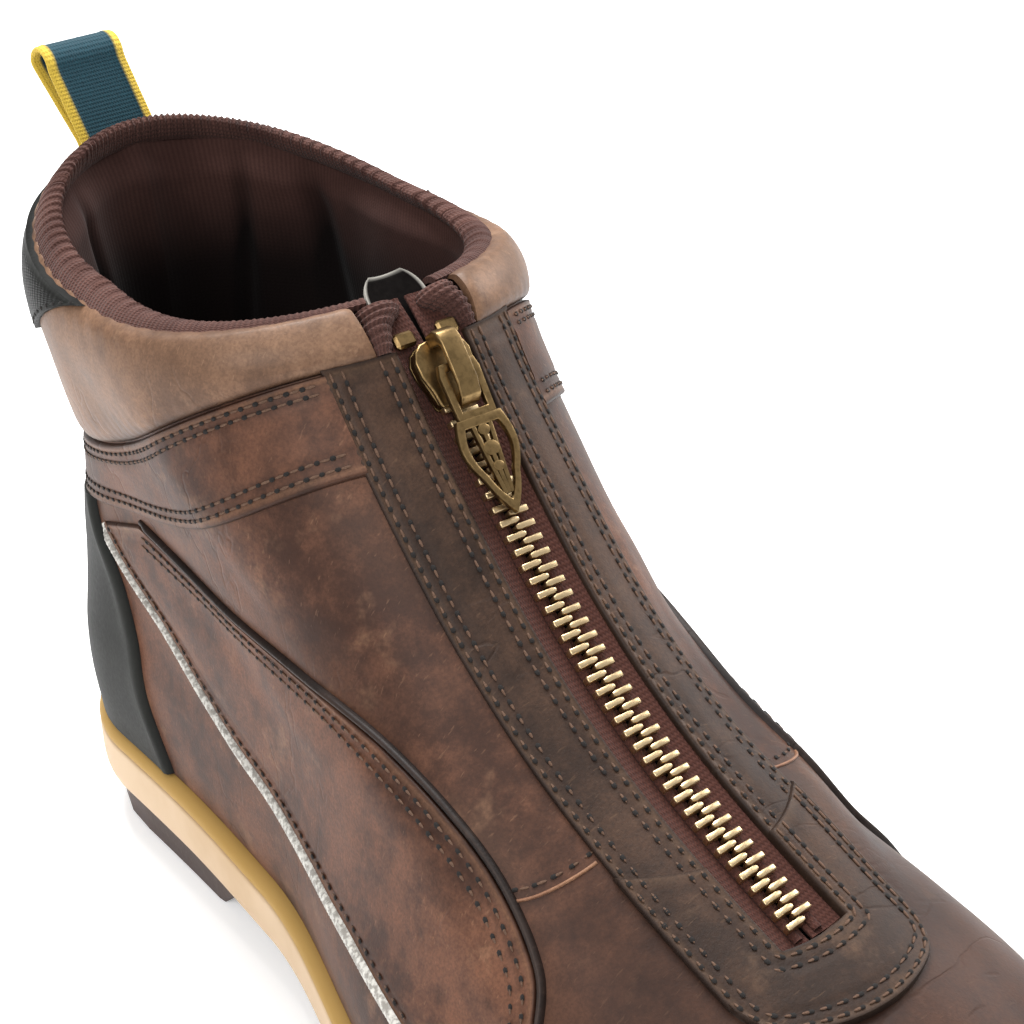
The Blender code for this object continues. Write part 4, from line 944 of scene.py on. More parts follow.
for row in TOE_ROWS:
    share = row / np.maximum(toe_reach, 0.001)
    line = toe_edge + (toe_sole - toe_edge) * share[:, None]
    toe_seams.append(line[9:-9])
sew("toe_cap", toe_seams, TOE_CAP - STITCH_SINK)


# Facing. Strips of the darker nubuck run down beside the zip and end in a cap below it. Each is turned
# under at the zip and sewn with double rows.
PLACKET = 0.0013
CAP_ABOVE = 0.021
CAP_BELOW = 0.018
CAP = 0.0019
CAP_CORNER = 0.0075
CAP_REACH = PLACKET_REACH + 0.0004
FACING_ROWS = (0.0017, 0.0041)


def facing_places(runs, reaches):
    """Places by distance down the ridge and reach to the side."""
    level = np.broadcast_to(level_down(runs)[:, None], reaches.shape)
    turn = np.sign(reaches) * turn_at(level_down(runs), np.abs(reaches))
    return level, turn


def facing_line(runs, reach):
    """A line of places on the facing, from distances down the ridge and reaches to the side."""
    level, turn = facing_places(runs, np.broadcast_to(reach, runs.shape)[:, None])
    return np.stack((level[:, 0], turn[:, 0]), 1)


seam_run_down = float(np.interp(-SEAM_FRONT, -RIDGE_LEVELS, RIDGE_RUN))
strip_start = seam_run_down - 0.0006
strip_end = ZIP_LENGTH - CAP_ABOVE + 0.0030
strip_runs = np.concatenate((
    strip_start + np.array((0.0, 0.0002, 0.0006, 0.0011)), np.linspace(strip_start + 0.002, strip_end, 110)))
strip_inner = slot_reach(level_down(strip_runs))[:, None]
strip_steps = spread_steps(PLACKET_REACH - SLOT_WIDTH / 2.0, EDGE_STEPS[:-1], 4)
strip_share = strip_steps / strip_steps[-1]
strip_reach = strip_inner + (PLACKET_REACH - strip_inner) * strip_share
strip_distance = np.minimum(strip_reach - strip_inner, PLACKET_REACH - strip_reach)
strip_distance = np.minimum(strip_distance, (strip_runs - strip_start)[:, None])
strip_lift = edge_profile(strip_distance, PLACKET) + channel(strip_distance, FACING_ROWS)
for side_name, side in SIDES:
    level, turn = facing_places(strip_runs, side * strip_reach)
    strip = laid_piece(
        "placket_strip_" + side_name, level, turn, strip_lift, strip_leather,
        marks=edge_marks(strip_distance, FACING_ROWS))
    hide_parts("placket_" + side_name)
    seam_runs = np.linspace(strip_start + 0.002, strip_end - 0.001, 120)
    seams = []
    for row in FACING_ROWS:
        seams.append(facing_line(seam_runs, side * (PLACKET_REACH - row)))
        seams.append(facing_line(seam_runs, side * (slot_reach(level_down(seam_runs)) + row)))
    sew("placket_" + side_name, seams, PLACKET - STITCH_SINK)

cap_start = ZIP_LENGTH - CAP_ABOVE
cap_end = ZIP_LENGTH + CAP_BELOW
cap_runs = np.concatenate((
    cap_start + np.array((0.0, 0.0002, 0.0006, 0.0011, 0.0020, 0.0030)),
    np.linspace(cap_start + 0.0042, ZIP_LENGTH - 0.0014, 12),
    ZIP_LENGTH + np.array((-0.0008, -0.0003, 0.0, 0.0004, 0.0009, 0.0015, 0.0023, 0.0033, 0.0043)),
    np.linspace(ZIP_LENGTH + 0.0055, cap_end - 0.0055, 7),
    cap_end - np.array((0.0043, 0.0033, 0.0023, 0.0015, 0.0009, 0.0004, 0.0001))))
slot_half = SLOT_WIDTH / 2.0
into_corner = np.clip((cap_runs - (cap_end - CAP_CORNER)) / CAP_CORNER, 0.0, 1.0)
cap_limit = CAP_REACH - CAP_CORNER * (1.0 - np.sqrt(1.0 - into_corner ** 2))
cap_share = spread_steps(PLACKET_REACH - slot_half, EDGE_STEPS[:-1], 3) / (PLACKET_REACH - slot_half)
cap_right = slot_half + (cap_limit[:, None] - slot_half) * cap_share
cap_middle = np.broadcast_to(np.linspace(-slot_half, slot_half, 13)[1:-1], (len(cap_runs), 11))
cap_reach = np.concatenate((-cap_right[:, ::-1], cap_middle, cap_right), axis=1)
below_slot = cap_runs[:, None] - ZIP_LENGTH
slot_distance = np.where(
    below_slot > 0.0, np.hypot(np.clip(np.abs(cap_reach) - slot_half, 0.0, 1.0), below_slot),
    np.abs(cap_reach) - slot_half)
corner_run = cap_runs[:, None] - (cap_end - CAP_CORNER)
corner_reach = np.abs(cap_reach) - (PLACKET_REACH - CAP_CORNER)
edge_distance = np.where(
    (corner_run > 0.0) & (corner_reach > 0.0), CAP_CORNER - np.hypot(corner_run, corner_reach),
    np.minimum(cap_end - cap_runs[:, None], CAP_REACH - np.abs(cap_reach)))
top_distance = np.broadcast_to(cap_runs[:, None] - cap_start, cap_reach.shape)
cap_distance = np.minimum(np.minimum(slot_distance, edge_distance), top_distance)
cap_rows_distance = np.minimum(slot_distance, edge_distance)
cap_lift = edge_profile(cap_distance, CAP) + channel(cap_rows_distance, FACING_ROWS)
cap_level, cap_turn = facing_places(cap_runs, cap_reach)
cap_open = np.zeros((len(cap_runs) - 1, cap_reach.shape[1] - 1), bool)
first_middle = cap_right.shape[1] - 1
cap_open[:int(np.searchsorted(cap_runs, ZIP_LENGTH)), first_middle:first_middle + 12] = True
cap_piece = laid_piece(
    "placket_cap_leather", cap_level, cap_turn, cap_lift, strip_leather, cap_open,
    marks=edge_marks(np.maximum(cap_distance, 0.0), FACING_ROWS))
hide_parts("placket_cap")


def u_line(inset, corner, start):
    """A row that goes down one side of the facing, across below the zip and up the other side."""
    half = CAP_REACH - inset
    bottom = cap_end - inset
    angle = np.linspace(0.0, math.pi / 2.0, 12)
    down = np.linspace(start, bottom - corner, 30)
    run = np.concatenate((down, bottom - corner + corner * np.sin(angle[1:])))
    reach = np.concatenate((np.full(30, half), half - corner + corner * np.cos(angle[1:])))
    run = np.concatenate((run, np.full(20, bottom), run[::-1]))
    reach = np.concatenate((reach, np.linspace(half - corner, corner - half, 22)[1:-1], -reach[::-1]))
    return facing_line(run, reach)


def slot_line(outset, start):
    """A row that goes round the lower end of the zip."""
    half = slot_half + outset
    bottom = ZIP_LENGTH + outset
    down = np.linspace(start, bottom, 24)
    run = np.concatenate((down, np.full(16, bottom), np.linspace(bottom, start, 24)))
    reach = np.concatenate((np.full(24, half), np.linspace(half, -half, 18)[1:-1], np.full(24, -half)))
    return facing_line(run, reach)


cap_seams = [u_line(row, CAP_CORNER - row, cap_start + 0.002) for row in FACING_ROWS]
cap_seams += [slot_line(row, cap_start + 0.002) for row in FACING_ROWS]
sew("placket_cap", cap_seams, CAP - STITCH_SINK)


# Padded roll. Softer, paler leather over foam round the top of the shaft, sewn to the band below and to
# the knitted binding above.
ROLL_TOP = 0.965
ROLL_SHORT = 0.0042
ROLL_COLUMNS = 150
roll_shares = np.concatenate(((0.0, 0.01, 0.03, 0.06, 0.10), np.linspace(0.14, ROLL_TOP, 34)))
front_levels = SEAM_FRONT + (1.0 - SEAM_FRONT) * roll_shares
roll_front = turn_at(front_levels, slot_reach(front_levels) + ROLL_SHORT)
roll_spacing = np.concatenate(((0.0, 0.004, 0.010, 0.018, 0.028), np.linspace(0.040, 1.0, ROLL_COLUMNS)))
roll_turn = round_back(roll_front + (1.0 - roll_front) * roll_spacing)
roll_level = roll_level_at(roll_shares[:, None], roll_turn)
roll_spacing = np.concatenate((roll_spacing, roll_spacing[-2::-1])) * 0.19
seam_distance = roll_shares[:, None] * 0.028
roll_lift = edge_profile(np.minimum(seam_distance, roll_spacing + 0.0002), 0.0011, 0.0035)
pucker = np.sin(roll_turn * 260.0) * np.exp(-seam_distance / 0.0035) * 0.00012
top_pucker = np.sin(roll_turn * 190.0) * np.exp(-(ROLL_TOP - roll_shares[:, None]) * 9.0) * 0.00022
pucker = pucker + top_pucker
soft = np.sin(roll_turn * 21.0 + 2.0 * roll_shares[:, None])
soft = soft * np.sin(math.pi * roll_shares)[:, None] * 0.00035
roll_fold = fold_height(roll_level, roll_turn)
roll_leather = oiled_nubuck(
    "collar_leather", (0.078, 0.036, 0.019), (0.212, 0.112, 0.063), (0.380, 0.225, 0.132), 0.7, 0.06)
roll = wall_piece(
    "collar_roll", on_upper(roll_level, roll_turn, roll_lift + pucker + soft),
    on_upper(roll_level, roll_turn, -0.0012), roll_leather,
    marks={
        "worn": np.clip(roll_fold / 0.0008, 0.0, 1.0) * 0.5 + 0.25 * np.sin(math.pi * roll_shares)[:, None],
        # Painted shade in the sunk seam below the roll and in the fold troughs.
        "dark": bell(seam_distance, 0.0012) + np.clip(-roll_fold / 0.0012, 0.0, 1.0) * 0.5,
    })


# Binding and lining. A plum ribbed knit wraps the rim and the two ends of the collar. The padded plum
# lining is quilted in soft upright folds and runs down into the foot.
def knit(name, deep, light, rib_scale, relief):
    """Ribbed knit with a slightly fuzzy face, on the piece's own UV map."""
    finish = Finish(name, roughness=0.92, sheen_weight=0.06, sheen_roughness=0.5, specular_ior_level=0.1)
    where = finish.place(source="UV")
    rib = (finish.axis(where, 0) * rib_scale).wave()
    row = (finish.axis(where, 1) * rib_scale * 1.4 + rib * 1.2).wave()
    place = finish.place()
    fuzz = finish.noise(place, 1900.0, 3.0, 0.7)
    clouds = finish.noise(place, 60.0, 3.0)
    tone = finish.colour((rib * 0.25 + 0.5) * 0.5 + fuzz * 0.5, deep, light)
    tone = finish.colour(clouds.between(0.35, 0.7) * 0.45, tone, deep)
    # The deep mark is painted shade, darkest far down inside the shaft and in the lining's grooves.
    tone = finish.colour(finish.mark("deep"), tone, toned(deep, 0.10))
    finish.bump(rib * 0.5 + row * 0.35 + fuzz * 0.6, relief, 0.7)
    return finish.done(tone, 0.80 + fuzz * 0.18)


PLUM_DEEP = (0.030, 0.0125, 0.0110)
PLUM_LIGHT = (0.160, 0.078, 0.062)
binding_knit = knit("binding_knit", PLUM_DEEP, PLUM_LIGHT, 5200.0, 0.00032)
lining_knit = knit("lining_knit", (0.024, 0.0098, 0.0082), (0.088, 0.042, 0.034), 5200.0, 0.00004)
BINDING_AROUND = 20
BINDING_STATIONS = 520
BINDING_RIB = 0.0014
BINDING_RIB_HEIGHT = 0.00030
rim_front = float(turn_at(np.array((1.0,)), np.array((SLOT_WIDTH / 2.0 + SLOT_SPREAD,)))[0, 0])
rim_turns = np.linspace(rim_front, 1.0, BINDING_STATIONS // 2)
rim_turns = round_back(rim_turns)
outer_edge_level = roll_level_at(ROLL_TOP - 0.03, rim_turns)
bind_outer = on_upper(outer_edge_level, rim_turns, 0.0009)
bind_top = on_upper(1.0, rim_turns, -0.0022) + np.array((0.0, 0.0, 0.0026))
inner_edge_level = roll_level_at(0.95, rim_turns)
bind_depth = last_normal(inner_edge_level, rim_turns) * (PAD - 0.0022)
bind_inner = last_point(inner_edge_level, rim_turns) - bind_depth
angle = np.linspace(0.0, math.pi, BINDING_AROUND)[:, None, None]
bind_middle = (bind_outer + bind_inner) / 2.0
bind_side = (bind_outer - bind_inner) / 2.0
bind_rise = bind_top - bind_middle
bind_run = run_along(bind_top)
rib_height = BINDING_RIB_HEIGHT * np.sin(bind_run / BINDING_RIB * 2.0 * math.pi)[None, :, None]
rib_height = rib_height * np.sin(angle) ** 0.5
bind_shape = bind_side * np.sign(np.cos(angle)) * np.abs(np.cos(angle)) ** 0.8
bind_shape = bind_shape + bind_rise * np.sin(angle) ** 0.8
bind_outside = bind_middle + bind_shape * (1.0 + rib_height / 0.0045)
bind_inside = bind_middle + bind_shape * 0.72 - np.array((0.0, 0.0, 0.0008))
binding = wall_piece("collar_binding", bind_outside, bind_inside, binding_knit)

end_levels = np.linspace(SEAM_FRONT + 0.004, 0.992, 60)
end_reach = SLOT_WIDTH / 2.0 + np.interp(end_levels, (SEAM_FRONT, 0.945, 0.965), (0.0030, 0.0016, -0.0005))
end_half = np.interp(end_levels, (SEAM_FRONT, 0.945, 0.965), (0.0022, 0.0032, 0.0047))[:, None, None]
end_turn = turn_at(end_levels, end_reach)
end_angles = np.linspace(0.0, 2.0 * math.pi, 25)[:-1]
end_top = np.clip((end_levels - 0.972) / 0.022, 0.0, 1.0)
end_closing = np.sqrt(np.clip(1.0 - end_top ** 2, 0.05, 1.0))[:, None, None]
end_out = roll_out(end_levels, 0.02)[:, None, None] + 0.0010
for side_name, side in SIDES:
    end_normal = last_normal(end_levels[:, None], side * end_turn)
    end_along = last_point(end_levels[:, None], side * (end_turn + 0.004)) - last_point(
        end_levels[:, None], side * end_turn)
    end_along = unit(end_along)
    end_middle = last_point(end_levels[:, None], side * end_turn) + end_normal * (end_out - PAD + 0.001) / 2.0
    end_rib = 1.0 + 0.05 * np.sin(end_levels * SHAFT_HEIGHT / BINDING_RIB * 2.0 * math.pi)[:, None, None]
    end_ring = end_along * np.cos(end_angles)[:, None] * end_half
    end_ring = end_ring + end_normal * np.sin(end_angles)[:, None] * (end_out + PAD - 0.001) / 2.0
    end_ring = end_ring * end_closing
    end_piece = wall_piece(
        "collar_end_binding_" + side_name, end_middle + end_ring * end_rib, end_middle + end_ring * 0.55,
        binding_knit, wrapped=True)

LINING_TOP = 0.985
lining_shares = np.concatenate((np.linspace(0.0, 0.55, 30), np.linspace(0.56, LINING_TOP, 60)))
lining_slot = turn_at(lining_shares, slot_reach(lining_shares) + 0.0004)
lining_half = lining_slot + (1.0 - lining_slot) * np.linspace(0.0, 1.0, 130)
lining_turns = round_back(lining_half)
lining_top = roll_level_at(LINING_TOP, lining_turns)
lining_levels = lining_shares[:, None] / LINING_TOP * lining_top
lining_padding = ease((lining_levels - seam_level(lining_turns) + 0.14) / 0.16)
quilt = 0.0011 * np.sin(np.abs(lining_turns) * 24.0 + 1.5 * lining_levels) * lining_padding
groove = bell(np.abs(lining_turns) - 0.60 - 0.1 * lining_levels, 0.022)
groove = groove + 0.8 * bell(np.abs(lining_turns) - 0.93 + 0.12 * lining_levels, 0.016)
groove = groove * lining_padding * ease((1.0 - lining_levels / lining_top) / 0.10)
quilt = quilt - 0.0024 * groove
lining_depth = WALL + 0.0006 + (PAD - WALL) * lining_padding + quilt
lining_depth = lining_depth - 0.0040 * ease((lining_levels / lining_top - 0.93) / 0.07)
lining_normal = last_normal(lining_levels, lining_turns)
lining_base = last_point(lining_levels, lining_turns)
lining_face = to_floor_line(lining_base - lining_normal * lining_depth[..., None], 0.0010)
lining_back = to_floor_line(lining_base - lining_normal * (lining_depth - 0.0009)[..., None], 0.0006)
lining_below = 1.0 - lining_levels / lining_top
# Painted shade in the quilt grooves and further down inside the shaft.
lining_painted_shade = 0.45 * groove + 0.97 * ease((lining_below - 0.04) / 0.17)
lining = wall_piece(
    "collar_lining", lining_face, lining_back, lining_knit, marks={"deep": np.clip(lining_painted_shade, 0.0, 1.0)})


# Tab on the back of the roll. Black coated leather with a woven insert, turned under along its edges and
# sewn down with black thread.
TAB = 0.0012
TAB_BASE = 0.0012
TAB_LOW = 0.58
TAB_HIGH = 0.935
TAB_FRONT_LOW = 0.66
TAB_FRONT_HIGH = 0.48
TAB_ROW = (0.0019,)
tab_shares = np.concatenate((
    TAB_LOW + np.array((0.0, 0.004, 0.010, 0.02, 0.04, 0.06, 0.08)), np.linspace(0.69, 0.83, 8),
    TAB_HIGH - np.array((0.08, 0.06, 0.04, 0.02, 0.010, 0.004, 0.0))))
tab_front = TAB_FRONT_LOW + (TAB_FRONT_HIGH - TAB_FRONT_LOW) * (tab_shares - TAB_LOW) / (TAB_HIGH - TAB_LOW)
tab_spacing = np.concatenate((
    (0.0, 0.001, 0.003, 0.006, 0.012, 0.02, 0.03, 0.045), np.linspace(0.06, 1.0, 70)))
tab_half = tab_front[:, None] + (1.0 - tab_front[:, None]) * tab_spacing
tab_turns = round_back(tab_half)
tab_levels = roll_level_at(tab_shares[:, None], tab_turns)
tab_points = on_upper(tab_levels, tab_turns, 0.0)
tab_run = run_along(tab_points, 1)
tab_rise = run_along(tab_points, 0)
tab_distance = np.minimum(
    np.minimum(tab_run, tab_run[:, -1:] - tab_run), np.minimum(tab_rise, tab_rise[-1:] - tab_rise))
tab_lift = TAB_BASE + edge_profile(tab_distance, TAB) + channel(tab_distance, TAB_ROW, 0.0002)
coated = Finish("black_coated_leather", specular_ior_level=0.10, coat_weight=0.02, coat_roughness=0.35)
coated_place = coated.place()
coated_grain = coated.cells(coated_place, 900.0, "SMOOTH_F1")
coated_clouds = coated.noise(coated_place, 70.0, 4.0)
coated_where = coated.place(source="UV")
weave = (coated.axis(coated_where, 0) * 3400.0).wave() * (coated.axis(coated_where, 1) * 3400.0).wave()
coated_tone = coated.colour(
    coated_clouds.between(0.35, 0.7), (0.0040, 0.0040, 0.0036), (0.012, 0.0122, 0.0110))
coated_tone = coated.colour(coated.mark("worn") * 0.5, coated_tone, (0.060, 0.062, 0.058))
coated.bump(coated_grain * 0.7 + weave * coated.mark("woven") * 0.6, 0.00020, 0.7)
coated = coated.done(coated_tone, 0.44 + coated_clouds * 0.16)
tab_marks = edge_marks(tab_distance, TAB_ROW)
tab_marks["woven"] = ease((tab_distance - 0.003) / 0.0006)
tab = wall_piece(
    "collar_tab_leather", on_upper(tab_levels, tab_turns, tab_lift), on_upper(tab_levels, tab_turns, 0.0004),
    coated, marks=tab_marks)
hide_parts("collar_tab")
tab_side_line = np.stack((roll_level_at(tab_shares, tab_front), tab_front + 0.011), 1)[3:-3]
tab_low_turns = np.linspace(-TAB_FRONT_LOW - 0.02, -1.0, 80)
tab_low_line = np.stack((roll_level_at(TAB_LOW + 0.055, tab_low_turns), tab_low_turns), 1)
black_thread = thread_finish("black_thread", (0.034, 0.034, 0.031), (0.010, 0.010, 0.009))
sew("collar_tab", [
    mirrored(tab_side_line, -1.0), tab_side_line, tab_low_line, mirrored(tab_low_line, -1.0)],
    TAB_BASE + TAB - 0.00014, black_thread)


# Pull loop. A teal woven tape with yellow edges, folded in two and caught behind the tab. Its ends go
# down behind the tab, and its face is plain.
LOOP_WIDTH = 0.0200
LOOP_HEIGHT = 0.0215
LOOP_LEAN = 0.0055
LOOP_SHIFT = -0.0030
LOOP_DEPTH = 0.0085
LOOP_TAPE = 0.0013
LOOP_EDGE = 0.0022
LIFT = 0.0006
loop_levels = np.linspace(0.900, 0.975, 14)
leg_face = LIFT + GAP + TAB + 1.6 * GAP + LOOP_TAPE / 2.0


def behind_tab(levels, height):
    """A point behind the tab at the back of the boot, with no folds."""
    return last_point(levels, 1.0) + last_normal(levels, 1.0) * (height + roll_out(levels, 1.0))[:, None]


front_leg = behind_tab(loop_levels, leg_face)
back_leg = behind_tab(loop_levels, leg_face + LOOP_TAPE + 1.6 * GAP)
fold_centre = front_leg[-1] + np.array((
    LOOP_SHIFT, LOOP_DEPTH * 0.62 + LOOP_LEAN, LOOP_HEIGHT - LOOP_DEPTH / 2.0))
fold_angles = np.linspace(0.0, math.pi, 24)
fold = fold_centre + np.stack((
    np.zeros(24), -np.cos(fold_angles) * LOOP_DEPTH / 2.0, np.sin(fold_angles) * LOOP_DEPTH / 2.0), 1)
rise = np.linspace(0.0, 1.0, 22)[1:-1, None]
loop_path = np.concatenate((
    front_leg, front_leg[-1] + (fold[0] - front_leg[-1]) * rise, fold,
    fold[-1] + (back_leg[-1] - fold[-1]) * rise, back_leg[::-1]))
for _ in range(2):
    loop_path[1:-1] = (loop_path[:-2] + loop_path[1:-1] * 2.0 + loop_path[2:]) / 4.0
loop_ahead = unit(np.gradient(loop_path, axis=0))
loop_out = np.cross(loop_ahead, (1.0, 0.0, 0.0))
loop_across = np.concatenate((
    np.array((-1.0, -0.985, -0.95, -0.90, -0.84, -0.79, -0.75)), np.linspace(-0.7, 0.7, 15),
    np.array((0.75, 0.79, 0.84, 0.90, 0.95, 0.985, 1.0))))
loop_round = np.sqrt(np.clip(1.0 - np.clip((np.abs(loop_across) - 0.93) / 0.07, 0.0, 1.0) ** 2, 0.02, 1.0))
loop_ridge = 0.00018 * bell(np.abs(loop_across) - 0.80, 0.05)
loop_half = LOOP_TAPE / 2.0 * loop_round + loop_ridge
loop_sides = []
for direction in (1.0, -1.0):
    loop_sides.append(
        loop_path[:, None] + loop_out[:, None] * (direction * loop_half)[None, :, None]
        + np.array((LOOP_WIDTH / 2.0, 0.0, 0.0)) * loop_across[None, :, None])
tape_cloth = Finish("teal_woven_tape", sheen_weight=0.08, specular_ior_level=0.25)
tape_where = tape_cloth.place(source="UV")
across_tape = tape_cloth.axis(tape_where, 0)
along_tape = tape_cloth.axis(tape_where, 1)
tape_warp = (across_tape * 9000.0).wave()
tape_weft = (along_tape * 7000.0 + tape_warp * 0.8).wave()
tape_place = tape_cloth.place()
tape_fuzz = tape_cloth.noise(tape_place, 1500.0, 3.0)
yellow_part = tape_cloth.mark("yellow")
teal = tape_cloth.colour(tape_fuzz, (0.0045, 0.024, 0.036), (0.012, 0.062, 0.085))
yellow = tape_cloth.colour(tape_fuzz, (0.46, 0.30, 0.030), (0.72, 0.52, 0.075))
tape_tone = tape_cloth.colour(yellow_part, teal, yellow)
tape_cloth.bump(tape_warp * 0.4 + tape_weft * 0.6 + tape_fuzz * 0.5, 0.00014, 0.7)
tape_cloth = tape_cloth.done(tape_tone, 0.72 + tape_fuzz * 0.2)
yellow_mark = ease((np.abs(loop_across) * LOOP_WIDTH / 2.0 - LOOP_WIDTH / 2.0 + LOOP_EDGE) / 0.0002)
loop = wall_piece("pull_loop_tape", *loop_sides, tape_cloth, marks={"yellow": yellow_mark[None, :]})
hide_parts("pull_loop")


# Insole. A foam footbed under brushed textile, cut to the inside of the upper and laid in. It keeps the
# solid's own shape and gets its finish here.
footbed = Finish("footbed_textile", sheen_weight=0.3)
footbed_place = footbed.place()
footbed_fuzz = footbed.noise(footbed_place, 900.0, 4.0, 0.7)
footbed_clouds = footbed.noise(footbed_place, 40.0, 3.0)
footbed_tone = footbed.colour(
    footbed_fuzz * 0.6 + footbed_clouds * 0.4, (0.018, 0.014, 0.014), (0.070, 0.056, 0.052))
footbed.bump(footbed_fuzz, 0.0002, 0.8)
footbed = footbed.done(footbed_tone, 0.85 + footbed_fuzz * 0.1)


def refinish(node, material):
    """Give a solid that stays its own finish."""
    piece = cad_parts[node]
    piece.data.materials.clear()
    piece.data.materials.append(material)


refinish("insole", footbed)


# Zip tapes. Plum woven tape runs down each side of the slot behind the facing, a little raised where it
# is sewn in. A cord is woven into each inner edge for the teeth to grip.
def ridge_frame(distance):
    """Point, down direction, inner-side direction and outward direction on the front ridge."""
    step = 0.002
    point = last_point(level_down(distance), 0.0)
    down = unit(last_point(level_down(distance + step), 0.0) - last_point(level_down(distance - step), 0.0))
    side = np.broadcast_to(np.array((1.0, 0.0, 0.0)), down.shape)
    side = unit(side - down * np.sum(side * down, axis=-1, keepdims=True))
    return point, down, side, np.cross(down, side)


def zip_point(distance, across, height):
    """A point beside and above the ridge, in the flat frame that the zip follows."""
    distance, across, height = np.broadcast_arrays(
        np.asarray(distance, float), np.asarray(across, float), np.asarray(height, float))
    point, _, side, out = ridge_frame(distance)
    return point + side * across[..., None] + out * height[..., None]


TAPE = 0.0005
TAPE_TOP = -0.0015
zip_tape = Finish("plum_zip_tape", roughness=0.85, sheen_weight=0.05, specular_ior_level=0.15)
zip_where = zip_tape.place(source="UV")
zip_across = zip_tape.axis(zip_where, 0)
zip_along = zip_tape.axis(zip_where, 1)
zip_rib = (zip_across * 8200.0).wave()
zip_twill = (zip_along * 5200.0 + (zip_across * 4100.0).wave().absolute() * 2.6).wave()
zip_place = zip_tape.place()
zip_fuzz = zip_tape.noise(zip_place, 1800.0, 3.0)
zip_tone = zip_tape.colour(
    (zip_twill * 0.25 + 0.5) * 0.6 + zip_fuzz * 0.4, (0.022, 0.0080, 0.0066), (0.105, 0.040, 0.029))
zip_tape.bump(zip_rib * 0.4 + zip_twill * 0.5 + zip_fuzz * 0.4, 0.00014, 0.7)
zip_tape = zip_tape.done(zip_tone, 0.76 + zip_fuzz * 0.2)
tape_runs = np.concatenate((np.linspace(0.0005, 0.02, 24), np.linspace(0.021, ZIP_LENGTH - 0.0008, 130)))
tape_edge = slot_reach(level_down(tape_runs)) + 0.0006
tape_spread = 0.0005 + SLOT_SPREAD * 0.45 * ease((0.012 - tape_runs) / 0.012)
tape_share = np.concatenate(((0.0, 0.02, 0.06), np.linspace(0.12, 1.0, 14)))
tape_lift = 0.00025 * bell(tape_share - 0.12, 0.07) + 0.0009 * ease((tape_share - 0.55) / 0.45)
for side_name, side in SIDES:
    tape_reach = side * (tape_spread[:, None] + (tape_edge - tape_spread)[:, None] * tape_share)
    tape_run = np.broadcast_to(tape_runs[:, None], tape_reach.shape)
    tape = wall_piece(
        "zip_tape_cloth_" + side_name, zip_point(tape_run, tape_reach, TAPE_TOP + tape_lift),
        zip_point(tape_run, tape_reach, TAPE_TOP - TAPE + tape_lift), zip_tape)
    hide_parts("zip_tape_" + side_name)


# Flap behind the zip. Thin black leather sewn in behind the tapes, which keeps water out. Its raw top edge
# is pale and stands up a little above the slider.
FLAP = 0.0008
flap_leather = Finish("flap_leather", specular_ior_level=0.0)
flap_place = flap_leather.place()
flap_grain = flap_leather.noise(flap_place, 700.0, 4.0)
flap_tone = flap_leather.colour(flap_grain, (0.0035, 0.0030, 0.0030), (0.011, 0.0095, 0.0090))
flap_tone = flap_leather.colour(flap_leather.mark("raw"), flap_tone, (0.42, 0.40, 0.36))
flap_leather.bump(flap_grain, 0.00015, 0.6)
flap_leather = flap_leather.done(flap_tone, 0.85 + flap_grain * 0.1)
flap_runs = np.concatenate((np.linspace(-0.0060, 0.004, 24), np.linspace(0.005, ZIP_LENGTH - 0.003, 60)))
flap_known = np.clip(flap_runs, 0.0, 1.0)
flap_above = np.clip(-flap_runs, 0.0, 1.0)
flap_half = slot_reach(level_down(flap_known)) - 0.0016
flap_half = flap_half * np.sqrt(np.clip(1.0 - (flap_above / 0.0072) ** 2, 0.05, 1.0))
flap_across = np.linspace(-1.0, 1.0, 17)
flap_reach = flap_half[:, None] * flap_across
flap_hollow = 0.0009 * (1.0 - flap_across ** 2) * ease((0.02 - flap_known) / 0.02)[:, None]
flap_height = TAPE_TOP - TAPE - 0.0004 - flap_hollow
flap_run = np.broadcast_to(flap_known[:, None], flap_reach.shape)
flap_up = -ridge_frame(np.zeros(1))[1][0]
flap_top = zip_point(flap_run, flap_reach, flap_height) + flap_up * flap_above[:, None, None]
flap_low = zip_point(flap_run, flap_reach, flap_height - FLAP) + flap_up * flap_above[:, None, None]
raw_edge = bell(flap_runs + 0.0060, 0.0004)[:, None]
raw_side = bell(1.0 - np.abs(flap_across), 0.03)[None, :] * (flap_runs < 0.004)[:, None]
flap_marks = {"raw": np.clip(raw_edge + raw_side, 0.0, 1.0)}
flap = wall_piece("zip_flap_leather", flap_top, flap_low, flap_leather, marks=flap_marks)
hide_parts("zip_flap")


# Teeth and stops. Pale brass teeth are pressed on to the corded edge of each tape at an even pitch, and
# the two halves mesh by half a pitch. A stop ends each half at the top.
CHAIN_LOW = TAPE_TOP + GAP
CHAIN_HEIGHT = 0.0022
CHAIN_HIGH = CHAIN_LOW + CHAIN_HEIGHT
CHAIN_WIDTH = 0.0076
TOOTH_PITCH = 0.0032
TOOTH_WIDTH = 0.00135
TEETH_SEED = 5
TEETH_WOBBLE = 0.015
CORD = 0.0011
CORD_RISE = 0.00035
SLIDER_START = 0.0125
SLIDER_LENGTH = 0.0135


def cast_metal(name, colour, dark, roughness, age):
    """Cast and plated metal, darker where the plating has aged."""
    finish = Finish(name, metallic=1.0)
    place = finish.place()
    cloud = finish.noise(place, 700.0, 4.0, 0.6)
    fine = finish.noise(place, 2600.0, 3.0, 0.6)
    tone = finish.colour(cloud.between(0.40, 0.68) * age, colour, dark)
    tone = finish.colour(finish.mark("recess") * 0.85, tone, toned(dark, 0.30))
    finish.bump(fine + cloud, 0.000012, 0.5)
    return finish.done(tone, roughness + cloud * 0.22)


pale_brass = cast_metal("pale_teeth_metal", (0.66, 0.50, 0.29), (0.36, 0.26, 0.13), 0.24, 0.4)
old_brass = cast_metal("antique_brass", (0.26, 0.172, 0.075), (0.110, 0.070, 0.030), 0.24, 0.6)


